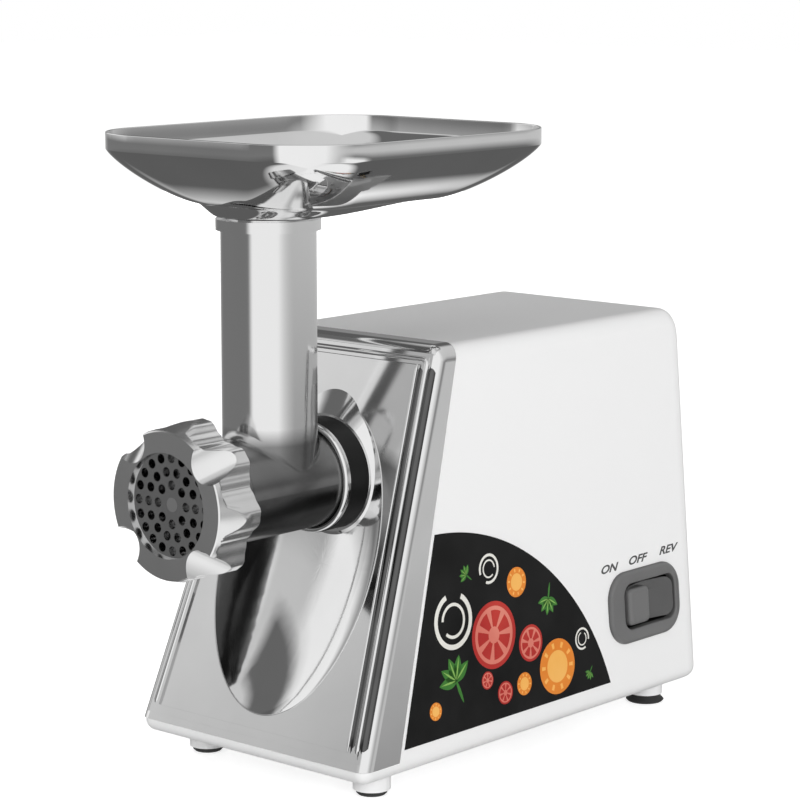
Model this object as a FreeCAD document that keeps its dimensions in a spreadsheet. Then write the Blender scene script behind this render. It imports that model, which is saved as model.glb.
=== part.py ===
import FreeCAD, Part
import Sketcher
import math
import operator
import os

# An electric meat grinder: a plastic housing with a motor and a three stage gear train,
# a polished front cover with a scoop, and a removable grinding head with its tray.
# Frame: +Z up, the mince leaves towards -Y, the switch is on the +X side, floor at z = 0.

SIZES = {
    # Housing, outside
    "base_width": 171.0,
    "roof_width": 135.0,
    "rear_room": 34.5,
    "foot_reach": 124.0,
    "brow_reach": 41.0,
    "seat_height": 22.0,
    "roof_height": 240.0,
    "wall": 2.5,
    "rear_round": 16.0,
    "roof_rear_round": 20.0,
    "roof_round": 10.0,
    "front_round": 7.0,
    # Front cover
    "cover_proud": 0.6,
    "cover_wall": 5.0,
    "seam_gap": 0.4,
    "seam_foot": 28.0,
    "seam_brow": 14.0,
    "border": 11.0,
    "border_foot": 9.0,
    "panel_recess": 1.6,
    "bead_width": 2.4,
    "bead_depth": 1.0,
    "bead_inset": 4.2,
    "scoop_half_width": 58.0,
    "scoop_half_height": 92.0,
    "scoop_middle": 107.0,
    "scoop_depth": 22.0,
    "scoop_wall": 2.5,
    "mouth_front": 60.0,
    "mouth_lip": 1.4,
    "mouth_spread": 13.0,
    "mouth_rise": 10.0,
    # Base, feet and their places
    "base_floor": 14.0,
    "floor_thickness": 3.0,
    "base_rim": 6.0,
    "base_round": 6.5,
    "foot_across": 63.0,
    "front_foot_back": 31.0,
    "rear_foot_back": 30.0,
    "foot_boss_radius": 10.4,
    "pad_radius": 8.6,
    "pad_height": 3.0,
    "rear_foot_radius": 11.5,
    "rear_foot_neck": 8.0,
    "rear_foot_height": 5.0,
    "foot_stem_radius": 3.5,
    "slot_width": 4.0,
    "slot_length": 44.0,
    "slot_pitch": 10.0,
    "rear_vents": 7,
    "base_vents": 9,
    "foot_lip": 1.0,
    # Casing screws
    "post_radius": 5.0,
    "post_height": 26.0,
    "post_across": 70.0,
    "post_front": 40.0,
    "post_rear": 54.0,
    "screw_radius": 2.0,
    "screw_head_radius": 3.8,
    "screw_head_height": 2.4,
    # Drive line
    "drive_height": 165.0,
    "collar_radius": 31.6,
    "collar_bore": 26.4,
    "collar_flange": 40.0,
    "collar_flange_thickness": 4.0,
    "collar_front": 74.0,
    "cover_gap": 0.4,
    # Gear case
    "case_half_width": 53.0,
    "case_low": 54.0,
    "case_high": 210.0,
    "case_front": 24.0,
    "case_depth": 53.0,
    "case_wall": 3.0,
    "case_front_wall": 5.0,
    "case_back_plate": 4.0,
    "case_round": 16.0,
    "leg_inside": 26.0,
    "leg_width": 18.0,
    "leg_depth": 24.0,
    "bush_boss": 5.0,
    # Gears: teeth, modules, widths and the lines of centres
    "wheel_teeth": 48,
    "pinion_teeth": 12,
    "module_one": 1.0,
    "module_two": 1.25,
    "module_three": 1.5,
    "face_one": 8.0,
    "face_two": 8.0,
    "face_three": 16.0,
    "gear_margin": 6.0,
    "gear_spacing": 3.0,
    "pinion_overhang": 0.5,
    "addendum": 0.8,
    "dedendum": 1.0,
    "rim_modules": 4.0,
    "pressure_angle": 25.0,
    "tooth_play": 0.2,
    "line_three": -75.0,
    "line_two": 202.4,
    "line_one": -39.9,
    # Shafts and bushes
    "running_gap": 0.05,
    "fit_gap": 0.02,
    "bush_sink": 1.0,
    "drive_head_gap": 2.0,
    "shaft_clear": 2.0,
    "drive_head_radius": 14.0,
    "drive_head_length": 18.0,
    "hex_across": 13.0,
    "hex_gap": 0.3,
    "hex_depth": 15.0,
    "drive_journal_radius": 9.0,
    "drive_seat_radius": 8.5,
    "drive_rear_radius": 6.0,
    "idler_radius": 4.0,
    "bush_wall": 3.0,
    "drive_bush_wall": 5.0,
    # Motor
    "stator_width": 76.0,
    "stator_height": 64.0,
    "stator_length": 42.0,
    "stator_start": 66.0,
    "stator_round": 8.0,
    "stator_cavity": 28.0,
    "pole_half_width": 15.0,
    "armature_radius": 19.5,
    "air_gap": 0.8,
    "armature_slots": 12,
    "slot_mouth": 3.0,
    "slot_deep": 7.0,
    "winding_overhang": 11.0,
    "coil_overhang": 9.0,
    "coil_gap": 0.4,
    "coil_low": 8.0,
    "commutator_radius": 11.0,
    "commutator_length": 14.0,
    "commutator_start": 124.0,
    "commutator_bars": 12,
    "bar_slit": 0.8,
    "slit_depth": 3.0,
    "motor_shaft_radius": 4.0,
    "bearing_radius": 11.0,
    "bearing_width": 7.0,
    "fan_radius": 31.0,
    "fan_start": 41.0,
    "fan_depth": 10.0,
    "fan_plate": 2.0,
    "fan_hub_radius": 9.0,
    "fan_blades": 10,
    "blade_thickness": 1.6,
    "bracket_start": 118.5,
    "bracket_depth": 34.0,
    "bracket_wall": 3.0,
    "tie_across": 32.0,
    "tie_up": 26.0,
    "tie_radius": 2.0,
    "tie_post_radius": 4.5,
    "brush_width": 7.0,
    "brush_height": 5.0,
    "brush_wall": 1.0,
    "brush_length": 16.0,
    "brush_cap": 2.0,
    "brush_gap": 0.1,
    "spring_wire": 0.6,
    "spring_radius": 1.7,
    "spring_turns": 6.0,
    "lead_radius": 1.0,
    "lead_bend": 2.6,
    "lead_room": 4.8,
    "lead_rise": 12.0,
    "lead_spread": 5.8,
    "cushion_width": 40.0,
    "cushion_length": 20.0,
    # Switch on the side
    "switch_back": 53.5,
    "switch_height": 69.1,
    "bezel_length": 68.4,
    "bezel_height": 43.0,
    "bezel_round": 16.0,
    "bezel_proud": 3.0,
    "bezel_edge": 2.4,
    "rocker_offset": 5.0,
    "rocker_half_length": 23.1,
    "rocker_half_height": 13.2,
    "rocker_dip": 3.2,
    "paddle_proud": 4.2,
    "paddle_start": 1.5,
    "paddle_slope": 1.5,
    "rocker_proud": 1.0,
    "rocker_depth": 7.0,
    "rocker_gap": 0.4,
    "rocker_swing_gap": 1.9,
    "rocker_pivot": 8.0,
    "pivot_radius": 1.5,
    "switch_wall": 1.6,
    "switch_well": 11.5,
    "switch_depth": 27.0,
    "terminal_width": 6.0,
    "terminal_length": 8.0,
    "terminal_thickness": 0.8,
    "terminal_pitch": 11.8,
    # Cord inlet at the rear
    "gland_across": 40.0,
    "gland_height": 46.0,
    "gland_radius": 8.0,
    "gland_flange": 11.0,
    "gland_bore": 3.6,
    "gland_proud": 1.2,
    "gland_inside": 10.0,
    # Printed panel on the side
    "print_radius": 160.0,
    "print_back": 60.0,
    "print_drop": 20.0,
    "print_low": 28.0,
    "print_margin": 3.0,
    "print_thickness": 0.3,
    # Grinding head
    "barrel_radius": 28.0,
    "barrel_bore": 24.0,
    "spigot_radius": 26.1,
    "spigot_length": 28.0,
    "spigot_wall": 6.0,
    "rim_radius": 31.2,
    "rim_thickness": 2.0,
    "flare_start": 146.0,
    "flare_length": 6.0,
    "thread_radius": 33.6,
    "head_front": 178.0,
    "chamber_radius": 30.0,
    "plate_seat_depth": 4.0,
    "tube_place": 105.2,
    "tube_radius": 26.0,
    "tube_bore": 23.6,
    "tube_top": 311.0,
    "tube_lip_radius": 28.6,
    "tube_lip_height": 6.0,
    "saddle_round": 5.0,
    # Plate, knife, worm and ring nut
    "plate_radius": 31.0,
    "plate_thickness": 6.0,
    "plate_gap": 0.3,
    "plate_hole": 2.6,
    "plate_eye": 4.0,
    "hole_ring_one": 10.5,
    "hole_ring_two": 17.6,
    "hole_ring_three": 25.0,
    "holes_one": 8,
    "holes_two": 14,
    "holes_three": 20,
    "knife_radius": 29.2,
    "knife_thickness": 7.0,
    "knife_hub": 9.5,
    "blade_width": 8.0,
    "knife_square": 9.0,
    "square_gap": 0.3,
    "worm_radius": 23.5,
    "worm_core_rear": 11.0,
    "worm_core_front": 9.0,
    "worm_pitch": 32.0,
    "worm_turns": 3.0,
    "flight_root": 8.0,
    "flight_tip": 4.0,
    "worm_journal": 8.0,
    "nut_front": 185.0,
    "nut_length": 28.0,
    "nut_front_radius": 40.0,
    "nut_rear_radius": 44.0,
    "nut_band": 9.0,
    "nut_mouth": 28.5,
    "thread_gap": 0.35,
    "flute_count": 4,
    "flute_radius": 12.0,
    "flute_depth": 10.8,
    "flute_rise": 37.0,
    "flute_turn": 40.0,
    "wave_count": 8,
    "wave_radius": 18.0,
    "wave_depth": 3.5,
    # Tray
    "tray_half_width": 89.5,
    "tray_front": 165.7,
    "tray_rear": 46.9,
    "tray_rise": 44.4,
    "tray_band": 9.0,
    "tray_round": 45.0,
    "tray_wall": 1.0,
    "tray_slope": 39.0,
    "tray_depth": 28.5,
    "tray_bulge_ratio": 1.26,
    "tray_floor_round": 38.0,
    "tray_steps": 6,
    "tray_throat": 27.0,
    "throat_corner_ratio": 0.98,
    "throat_margin": 2.0,
    "tray_neck": 23.3,
    "tray_neck_wall": 1.2,
    "tray_neck_length": 24.0,
    "tray_floor_gap": 1.0,
}

doc = FreeCAD.newDocument("meat_grinder")
sheet = doc.addObject("Spreadsheet::Sheet", "Sizes")
for row, (name, value) in enumerate(SIZES.items(), 1):
    sheet.set(f"A{row}", name)
    sheet.set(f"B{row}", str(value))
    sheet.setAlias(f"B{row}", name)
doc.recompute()

Vector = FreeCAD.Vector
X_AXIS = Vector(1, 0, 0)
Y_AXIS = Vector(0, 1, 0)
Z_AXIS = Vector(0, 0, 1)
FAR = 400.0
SIGNS = {"+": operator.add, "-": operator.sub, "*": operator.mul, "/": operator.truediv}
PIECES = {}


class Size:
    """A dimension that is an expression of the sheet and a number at once."""

    def __init__(self, text, value):
        self.text = text
        self.value = value

    def __float__(self):
        return float(self.value)

    def __neg__(self):
        return Size(f"(-{self.text})", -self.value)

    def __add__(self, other):
        return worked_out(self, "+", other)

    def __radd__(self, other):
        return worked_out(other, "+", self)

    def __sub__(self, other):
        return worked_out(self, "-", other)

    def __rsub__(self, other):
        return worked_out(other, "-", self)

    def __mul__(self, other):
        return worked_out(self, "*", other)

    def __rmul__(self, other):
        return worked_out(other, "*", self)

    def __truediv__(self, other):
        return worked_out(self, "/", other)


def as_size(number):
    return number if isinstance(number, Size) else Size(f"({float(number)})", float(number))


def worked_out(first, sign, second):
    first = as_size(first)
    second = as_size(second)
    return Size(f"({first.text} {sign} {second.text})", SIGNS[sign](first.value, second.value))


def cosine(angle):
    return Size(f"cos({angle.text})", math.cos(math.radians(angle.value)))


def sine(angle):
    return Size(f"sin({angle.text})", math.sin(math.radians(angle.value)))


class Sheet:
    """The sheet's cells, by name."""

    def __getattr__(self, name):
        return Size(f"Sizes.{name}", float(sheet.get(name)))


size = Sheet()


# Helpers: placing, sketching and joining


def bind(thing, **sizes):
    for prop, dimension in sizes.items():
        thing.setExpression(prop, as_size(dimension).text)


def place(thing, x=0.0, y=0.0, z=0.0, rotation=None):
    if rotation:
        thing.Placement = FreeCAD.Placement(Vector(), rotation)
    for axis, dimension in zip("xyz", (x, y, z)):
        thing.setExpression(f"Placement.Base.{axis}", as_size(dimension).text)
    return thing


def new_body(name):
    return doc.addObject("PartDesign::Body", name)


def sketch_on(body, role, lift=None):
    sketch = body.newObject("Sketcher::SketchObject", f"{body.Name}_sketch")
    plane = next(item for item in body.Origin.OriginFeatures if item.Role == role)
    sketch.AttachmentSupport = [(plane, "")]
    sketch.MapMode = "FlatFace"
    if lift is not None:
        sketch.setExpression("AttachmentOffset.Base.z", as_size(lift).text)
    return sketch


def pin_point(sketch, edge, end, x, y):
    """Ties a sketch point to the sheet by its two distances from the origin."""
    for kind, line, dimension in (("DistanceX", -2, as_size(x)), ("DistanceY", -1, as_size(y))):
        if dimension.value == 0:
            sketch.addConstraint(Sketcher.Constraint("PointOnObject", edge, end, line))
        else:
            index = sketch.addConstraint(
                Sketcher.Constraint(kind, -1, 1, edge, end, dimension.value)
            )
            sketch.setExpression(f"Constraints[{index}]", dimension.text)


def outline(sketch, corners):
    """A closed outline of straight lines, with every corner tied to the sheet."""
    points = [Vector(float(x), float(y), 0) for x, y in corners]
    for start, end in zip(points, points[1:] + points[:1]):
        sketch.addGeometry(Part.LineSegment(start, end))
    for edge in range(len(points)):
        before = (edge - 1) % len(points)
        sketch.addConstraint(Sketcher.Constraint("Coincident", before, 2, edge, 1))
        pin_point(sketch, edge, 1, *corners[edge])


def round_outline(sketch, x, y, radius):
    """A rectangle with round corners: x and y are its low and high sides."""
    (left, right), (low, high) = x, y
    r = float(radius)
    x0, x1, y0, y1 = float(left), float(right), float(low), float(high)
    starts = [(x0 + r, y0), (x1, y0 + r), (x1 - r, y1), (x0, y1 - r)]
    ends = [(x1 - r, y0), (x1, y1 - r), (x0 + r, y1), (x0, y0 + r)]
    centres = [(x1 - r, y0 + r), (x1 - r, y1 - r), (x0 + r, y1 - r), (x0 + r, y0 + r)]
    for side in range(4):
        sketch.addGeometry(Part.LineSegment(Vector(*starts[side], 0), Vector(*ends[side], 0)))
    for side in range(4):
        circle = Part.Circle(Vector(*centres[side], 0), Z_AXIS, r)
        first = math.radians(90 * side - 90)
        sketch.addGeometry(Part.ArcOfCircle(circle, first, first + math.pi / 2))
    for side in range(4):
        corner = 4 + side
        sketch.addConstraint(Sketcher.Constraint("Tangent", side, 2, corner, 1))
        sketch.addConstraint(Sketcher.Constraint("Tangent", corner, 2, (side + 1) % 4, 1))
        sketch.addConstraint(Sketcher.Constraint("Vertical" if side % 2 else "Horizontal", side))
        if side:
            sketch.addConstraint(Sketcher.Constraint("Equal", 4, corner))
    index = sketch.addConstraint(Sketcher.Constraint("Radius", 4, r))
    sketch.setExpression(f"Constraints[{index}]", as_size(radius).text)
    for kind, side, dimension in (
        ("DistanceY", 0, low),
        ("DistanceX", 1, right),
        ("DistanceY", 2, high),
        ("DistanceX", 3, left),
    ):
        value = as_size(dimension)
        index = sketch.addConstraint(Sketcher.Constraint(kind, -1, 1, side, 1, value.value))
        sketch.setExpression(f"Constraints[{index}]", value.text)


def pad(body, sketch, length, backwards=False):
    feature = body.newObject("PartDesign::Pad", f"{body.Name}_pad")
    feature.Profile = sketch
    feature.Reversed = backwards
    bind(feature, Length=length)
    return feature


def turned(name, corners, x=0.0, y=0.0, z=0.0, upright=False):
    """A body of revolution from (radius, along) corners, about Y or, upright, about Z."""
    body = new_body(name)
    sketch = sketch_on(body, "XZ_Plane" if upright else "XY_Plane")
    outline(sketch, corners)
    feature = body.newObject("PartDesign::Revolution", f"{body.Name}_turn")
    feature.Profile = sketch
    feature.ReferenceAxis = (sketch, ["V_Axis"])
    feature.Angle = 360
    return place(body, x, y, z)


def plate(name, corners, low, high, along="Y"):
    """An outline padded from low to high along Y (drawn in x, z) or X (drawn in y, z)."""
    body = new_body(name)
    sketch = sketch_on(body, "XZ_Plane" if along == "Y" else "YZ_Plane")
    outline(sketch, corners)
    pad(body, sketch, high - low, backwards=along == "Y")
    return place(body, y=low) if along == "Y" else place(body, x=low)


def round_plate(name, x, z, radius, low, high):
    """A round cornered rectangle in x and z, padded from low to high along Y."""
    body = new_body(name)
    sketch = sketch_on(body, "XZ_Plane")
    round_outline(sketch, x, z, radius)
    pad(body, sketch, high - low, backwards=True)
    return place(body, y=low)


def box(name, x, y, z):
    thing = doc.addObject("Part::Box", name)
    bind(thing, Length=x[1] - x[0], Width=y[1] - y[0], Height=z[1] - z[0])
    return place(thing, x[0], y[0], z[0])


ALONG = {
    "X": FreeCAD.Rotation(Y_AXIS, 90),
    "Y": FreeCAD.Rotation(X_AXIS, -90),
    "Z": FreeCAD.Rotation(),
}


def rod(name, radius, low, high, along="Y", x=0.0, y=0.0, z=0.0):
    """A cylinder from low to high along an axis through the two other coordinates."""
    thing = doc.addObject("Part::Cylinder", name)
    bind(thing, Radius=radius, Height=as_size(high) - low)
    spot = {"X": x, "Y": y, "Z": z, along: low}
    return place(thing, spot["X"], spot["Y"], spot["Z"], ALONG[along])


def fuse(name, *things):
    joined = doc.addObject("Part::MultiFuse", name)
    joined.Shapes = list(things)
    joined.Refine = True
    return joined


def cut(name, base, *tools):
    result = doc.addObject("Part::Cut", name)
    result.Base = base
    result.Tool = tools[0] if len(tools) == 1 else fuse(f"{name}_tools", *tools)
    return result


def common(name, first, second):
    result = doc.addObject("Part::Common", name)
    result.Base = first
    result.Tool = second
    return result


def group(name, things):
    result = doc.addObject("Part::Compound", name)
    result.Links = list(things)
    return result


def rounded(name, base, choose):
    """Rounds the edges of a thing; choose gives an edge's radius, or None to leave it."""
    doc.recompute()
    picked = [(number, choose(edge)) for number, edge in enumerate(base.Shape.Edges, 1)]
    result = doc.addObject("Part::Fillet", name)
    result.Base = base
    result.Edges = [(number, float(r), float(r)) for number, r in picked if r is not None]
    return result


def piece(label, thing):
    thing.Label = label
    PIECES[label] = thing
    return thing


def made(name, shape):
    thing = doc.addObject("Part::Feature", name)
    thing.Shape = shape
    return thing


def screw(name, head, end, side, along="Y", **spot):
    """A pan head screw: its head stands on the plane head, on the given side of it."""
    cap = head + size.screw_head_height * side
    low, high = (head, cap) if side > 0 else (cap, head)
    crown = rod(f"{name}_head", size.screw_head_radius, low, high, along, **spot)
    low, high = (end, head) if side > 0 else (head, end)
    shank = rod(f"{name}_shank", size.screw_radius, low, high, along, **spot)
    return fuse(name, crown, shank)


# Housing faces: the sides lean in and the front leans back

base_half = size.base_width / 2
roof_half = size.roof_width / 2
rear_reach = size.bracket_start + size.bracket_depth + size.rear_room
housing_height = size.roof_height - size.seat_height
side_lean = (base_half - roof_half) / housing_height
front_lean = (size.foot_reach - size.brow_reach) / housing_height
side_angle = math.degrees(math.atan(float(side_lean)))
front_angle = math.degrees(math.atan(float(front_lean)))
seam_lean = front_lean - (size.seam_foot - size.seam_brow) / housing_height


def half_width_at(z):
    return base_half - (z - size.seat_height) * side_lean


def front_at(z):
    return (z - size.seat_height) * front_lean - size.foot_reach


def seam_at(z):
    return (z - size.seat_height) * seam_lean + size.seam_foot - size.foot_reach


def housing_block(name, side, front, low, high, trim):
    """The housing's outer form, drawn in by the given amounts, with its edges rounded."""
    wedge = doc.addObject("Part::Wedge", name)
    rear = rear_reach - side
    bind(
        wedge,
        Ymin=low,
        Xmin=side - half_width_at(low),
        Xmax=half_width_at(low) - side,
        Zmin=-rear,
        Zmax=-front_at(low) - front,
        Ymax=high,
        X2min=side - half_width_at(high),
        X2max=half_width_at(high) - side,
        Z2min=-rear,
        Z2max=-front_at(high) - front,
    )
    place(wedge, rotation=FreeCAD.Rotation(X_AXIS, 90))
    middle_y = float(rear_reach) / 2
    middle_z = (float(low) + float(high)) / 2

    def radius(edge):
        ends = [vertex.Point for vertex in edge.Vertexes]
        middle = edge.CenterOfMass
        if abs(ends[0].z - ends[1].z) > 1:
            return (size.rear_round if middle.y > middle_y else size.front_round) - trim
        if middle.z < middle_z:
            return None
        if abs(ends[0].y - ends[1].y) > 1:
            return size.roof_round - trim
        return (size.roof_rear_round if middle.y > middle_y else size.front_round) - trim

    return rounded(f"{name}_rounded", wedge, radius)


def front_frame():
    """The slanted front: x across, y up the slope from its foot, z outwards."""
    foot = Vector(0, -float(size.foot_reach), float(size.seat_height))
    return FreeCAD.Placement(foot, FreeCAD.Rotation(X_AXIS, 90 - front_angle))


def side_frame(y, z):
    """A place on the +X side: x towards the rear, y up the side, z outwards."""
    lean = math.radians(side_angle)
    up = Vector(-math.sin(lean), 0, math.cos(lean))
    spot = Vector(float(half_width_at(z)), float(y), float(z))
    return FreeCAD.Placement(spot, FreeCAD.Rotation(Y_AXIS, up, Y_AXIS.cross(up), "ZXY"))


def slab(name, frame, corners, low, high):
    """An outline drawn in a slanted frame and padded from low to high, outwards."""
    body = new_body(name)
    sketch = sketch_on(body, "XY_Plane", lift=low)
    outline(sketch, corners)
    pad(body, sketch, as_size(high) - low)
    body.Placement = frame
    return body


def round_slab(name, frame, x, y, radius, low, high):
    body = new_body(name)
    sketch = sketch_on(body, "XY_Plane", lift=low)
    round_outline(sketch, x, y, radius)
    pad(body, sketch, as_size(high) - low)
    body.Placement = frame
    return body


# Places along the drive line, front to back

drive_z = size.drive_height
case_front = -size.case_front
case_back = case_front + size.case_depth
plate_back = case_back + size.case_back_plate
wheel_half = size.wheel_teeth / 2
pinion_half = size.pinion_teeth / 2
stage_sum = wheel_half + pinion_half
three_start = case_front + size.case_front_wall + size.gear_margin
three_end = three_start + size.face_three
two_start = three_end + size.gear_spacing
two_end = two_start + size.face_two
one_start = two_end + size.gear_spacing
one_end = one_start + size.face_one
second_x = size.module_three * stage_sum * cosine(size.line_three)
second_z = drive_z + size.module_three * stage_sum * sine(size.line_three)
first_x = second_x + size.module_two * stage_sum * cosine(size.line_two)
first_z = second_z + size.module_two * stage_sum * sine(size.line_two)
motor_x = first_x + size.module_one * stage_sum * cosine(size.line_one)
motor_z = first_z + size.module_one * stage_sum * sine(size.line_one)
base_inside = size.base_floor + size.floor_thickness


# Gear teeth

def involute(base, radius):
    """How far an involute has turned where it reaches a radius."""
    pressure = math.acos(min(1.0, base / radius))
    return math.tan(pressure) - pressure


def gear_wire(module, teeth, phase):
    """The outline of a spur gear with stub teeth, in x and z, one tooth centred on phase."""
    pitch = module * teeth / 2
    base = pitch * math.cos(math.radians(float(size.pressure_angle)))
    tip = pitch + float(size.addendum) * module
    root = pitch - float(size.dedendum) * module
    half = math.pi / teeth / 2 - float(size.tooth_play) / pitch / 2
    zero = half + involute(base, pitch)

    def spot(radius, angle):
        return Vector(radius * math.cos(angle), 0, radius * math.sin(angle))

    def lean(radius):
        return zero - involute(base, max(radius, base))

    edges = []
    low = max(root, base)
    middle = (low + tip) / 2
    for tooth in range(teeth):
        at = phase + 2 * math.pi * tooth / teeth
        after = at + 2 * math.pi / teeth
        rise = [spot(root, at - lean(low)), spot(middle, at - lean(middle)), spot(tip, at - lean(tip))]
        fall = [spot(tip, at + lean(tip)), spot(middle, at + lean(middle)), spot(root, at + lean(low))]
        edges.append(Part.Arc(*rise).toShape())
        edges.append(Part.Arc(rise[2], spot(tip, at), fall[0]).toShape())
        edges.append(Part.Arc(*fall).toShape())
        gap = (at + lean(low) + after - lean(low)) / 2
        edges.append(Part.Arc(fall[2], spot(root, gap), spot(root, after - lean(low))).toShape())
    return Part.Wire(edges)


def teeth_block(name, module, teeth, phase, low, high, x, z):
    wire = gear_wire(float(module), round(float(teeth)), math.radians(phase))
    shape = Part.Face(wire).extrude(Vector(0, float(high - low), 0))
    thing = made(name, shape)
    return place(thing, x, low, z)


def wheel(name, module, phase, low, high, x, z, bore):
    """A large gear: its toothed rim, a thinner web and a hub with a bore."""
    blank = teeth_block(f"{name}_teeth", module, size.wheel_teeth, phase, low, high, x, z)
    rim = module * (wheel_half - size.rim_modules)
    hub = bore + size.bush_wall + size.fit_gap
    quarter = (high - low) / 4
    hollows = []
    for tag, start, end in (("a", low, low + quarter), ("b", high - quarter, high)):
        outer = rod(f"{name}_{tag}_outer", rim, start, end, x=x, z=z)
        inner = rod(f"{name}_{tag}_inner", hub, start, end, x=x, z=z)
        hollows.append(cut(f"{name}_{tag}_hollow", outer, inner))
    hole = rod(f"{name}_bore", bore + size.fit_gap, low, high, x=x, z=z)
    return cut(name, blank, *hollows, hole)


half_tooth = 180 / float(size.pinion_teeth)
facing_three = float(size.line_three)
facing_two = float(size.line_two)
facing_one = float(size.line_one)


def build_gears():
    """Each wheel has a tooth, and each pinion a gap, on the line between their centres."""
    piece("output_gear", wheel(
        "output_gear", size.module_three, facing_three, three_start, three_end,
        0.0, drive_z, size.drive_seat_radius,
    ))
    piece("second_gear", wheel(
        "second_gear", size.module_two, facing_two, two_start, two_end,
        second_x, second_z, size.idler_radius,
    ))
    piece("first_gear", wheel(
        "first_gear", size.module_one, facing_one, one_start, one_end,
        first_x, first_z, size.idler_radius,
    ))
    shaft_low = case_front + size.case_front_wall - size.bush_sink
    for name, module, facing, low, high, x, z in (
        ("second_pinion", size.module_three, facing_three, three_start, three_end, second_x, second_z),
        ("first_pinion", size.module_two, facing_two, two_start, two_end, first_x, first_z),
    ):
        over = size.pinion_overhang
        teeth = teeth_block(
            f"{name}_teeth", module, size.pinion_teeth, facing + 180 + half_tooth,
            low - over, high + over, x, z,
        )
        shaft = rod(f"{name}_shaft", size.idler_radius, shaft_low, plate_back, x=x, z=z)
        piece(name, fuse(name, teeth, shaft))


def build_bushes():
    """Sintered bushes in the gear case: a pair for each idler and a pair for the output."""
    bushes = []
    boss_end = case_front + size.case_front_wall + size.bush_boss
    shaft_low = case_front + size.case_front_wall - size.bush_sink
    for name, x, z in (("second", second_x, second_z), ("first", first_x, first_z)):
        for tag, low, high in (("front", shaft_low, boss_end), ("rear", case_back, plate_back)):
            outer = rod(f"{name}_{tag}_out", size.idler_radius + size.bush_wall, low, high, x=x, z=z)
            inner = rod(f"{name}_{tag}_in", size.idler_radius + size.running_gap, low, high, x=x, z=z)
            bushes.append(cut(f"{name}_{tag}_bush", outer, inner))
    piece("idler_bushes", group("idler_bushes", bushes))
    outer = size.drive_journal_radius + size.drive_bush_wall
    piece("output_bush", turned("output_bush", [
        (size.drive_journal_radius + size.running_gap, case_front),
        (outer, case_front),
        (outer, boss_end),
        (size.drive_journal_radius + size.running_gap, boss_end),
    ], z=drive_z))
    outer = size.drive_rear_radius + size.bush_wall
    piece("output_rear_bush", turned("output_rear_bush", [
        (size.drive_rear_radius + size.running_gap, case_back),
        (outer, case_back),
        (outer, plate_back),
        (size.drive_rear_radius + size.running_gap, plate_back),
    ], z=drive_z))


def hexagon(across):
    """Corners of a hexagon by its width across flats, with two flats upright."""
    half = across / 2
    side = across * math.tan(math.radians(30)) / 2
    return [(half, -side), (half, side), (0.0, 2 * side), (-half, side), (-half, -side), (0.0, -2 * side)]


drive_head_back = case_front - size.drive_head_gap
drive_head_front = drive_head_back - size.drive_head_length
hex_end = drive_head_front + size.hex_depth


def build_output_shaft():
    boss_end = case_front + size.case_front_wall + size.bush_boss
    blank = turned("output_blank", [
        (0.0, drive_head_front),
        (size.drive_head_radius, drive_head_front),
        (size.drive_head_radius, drive_head_back),
        (size.drive_journal_radius, drive_head_back),
        (size.drive_journal_radius, boss_end),
        (size.drive_seat_radius, boss_end),
        (size.drive_seat_radius, three_end),
        (size.drive_rear_radius, three_end),
        (size.drive_rear_radius, plate_back),
        (0.0, plate_back),
    ], z=drive_z)
    socket = plate("output_socket", hexagon(size.hex_across + size.hex_gap * 2), drive_head_front, hex_end)
    place(socket, y=drive_head_front, z=drive_z)
    piece("output_shaft", cut("output_shaft", blank, socket))


# Gear case

case_x = (-size.case_half_width, size.case_half_width)
case_z = (size.case_low, size.case_high)
case_corner_x = size.case_half_width - size.case_wall - size.tie_post_radius
case_corner_low = size.case_low + size.case_wall + size.tie_post_radius
case_corner_high = size.case_high - size.case_wall - size.tie_post_radius
leg_middle = size.leg_inside + size.leg_width / 2


def case_corners():
    for x in (-case_corner_x, case_corner_x):
        for z in (case_corner_low, case_corner_high):
            yield x, z


def bearing_places():
    """Each shaft of the gear case with the outer radius of its front and rear bush."""
    idler = size.idler_radius + size.bush_wall
    yield "second", second_x, second_z, idler, idler
    yield "first", first_x, first_z, idler, idler
    drive = size.drive_journal_radius + size.drive_bush_wall
    yield "drive", as_size(0.0), drive_z, drive, size.drive_rear_radius + size.bush_wall


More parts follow.
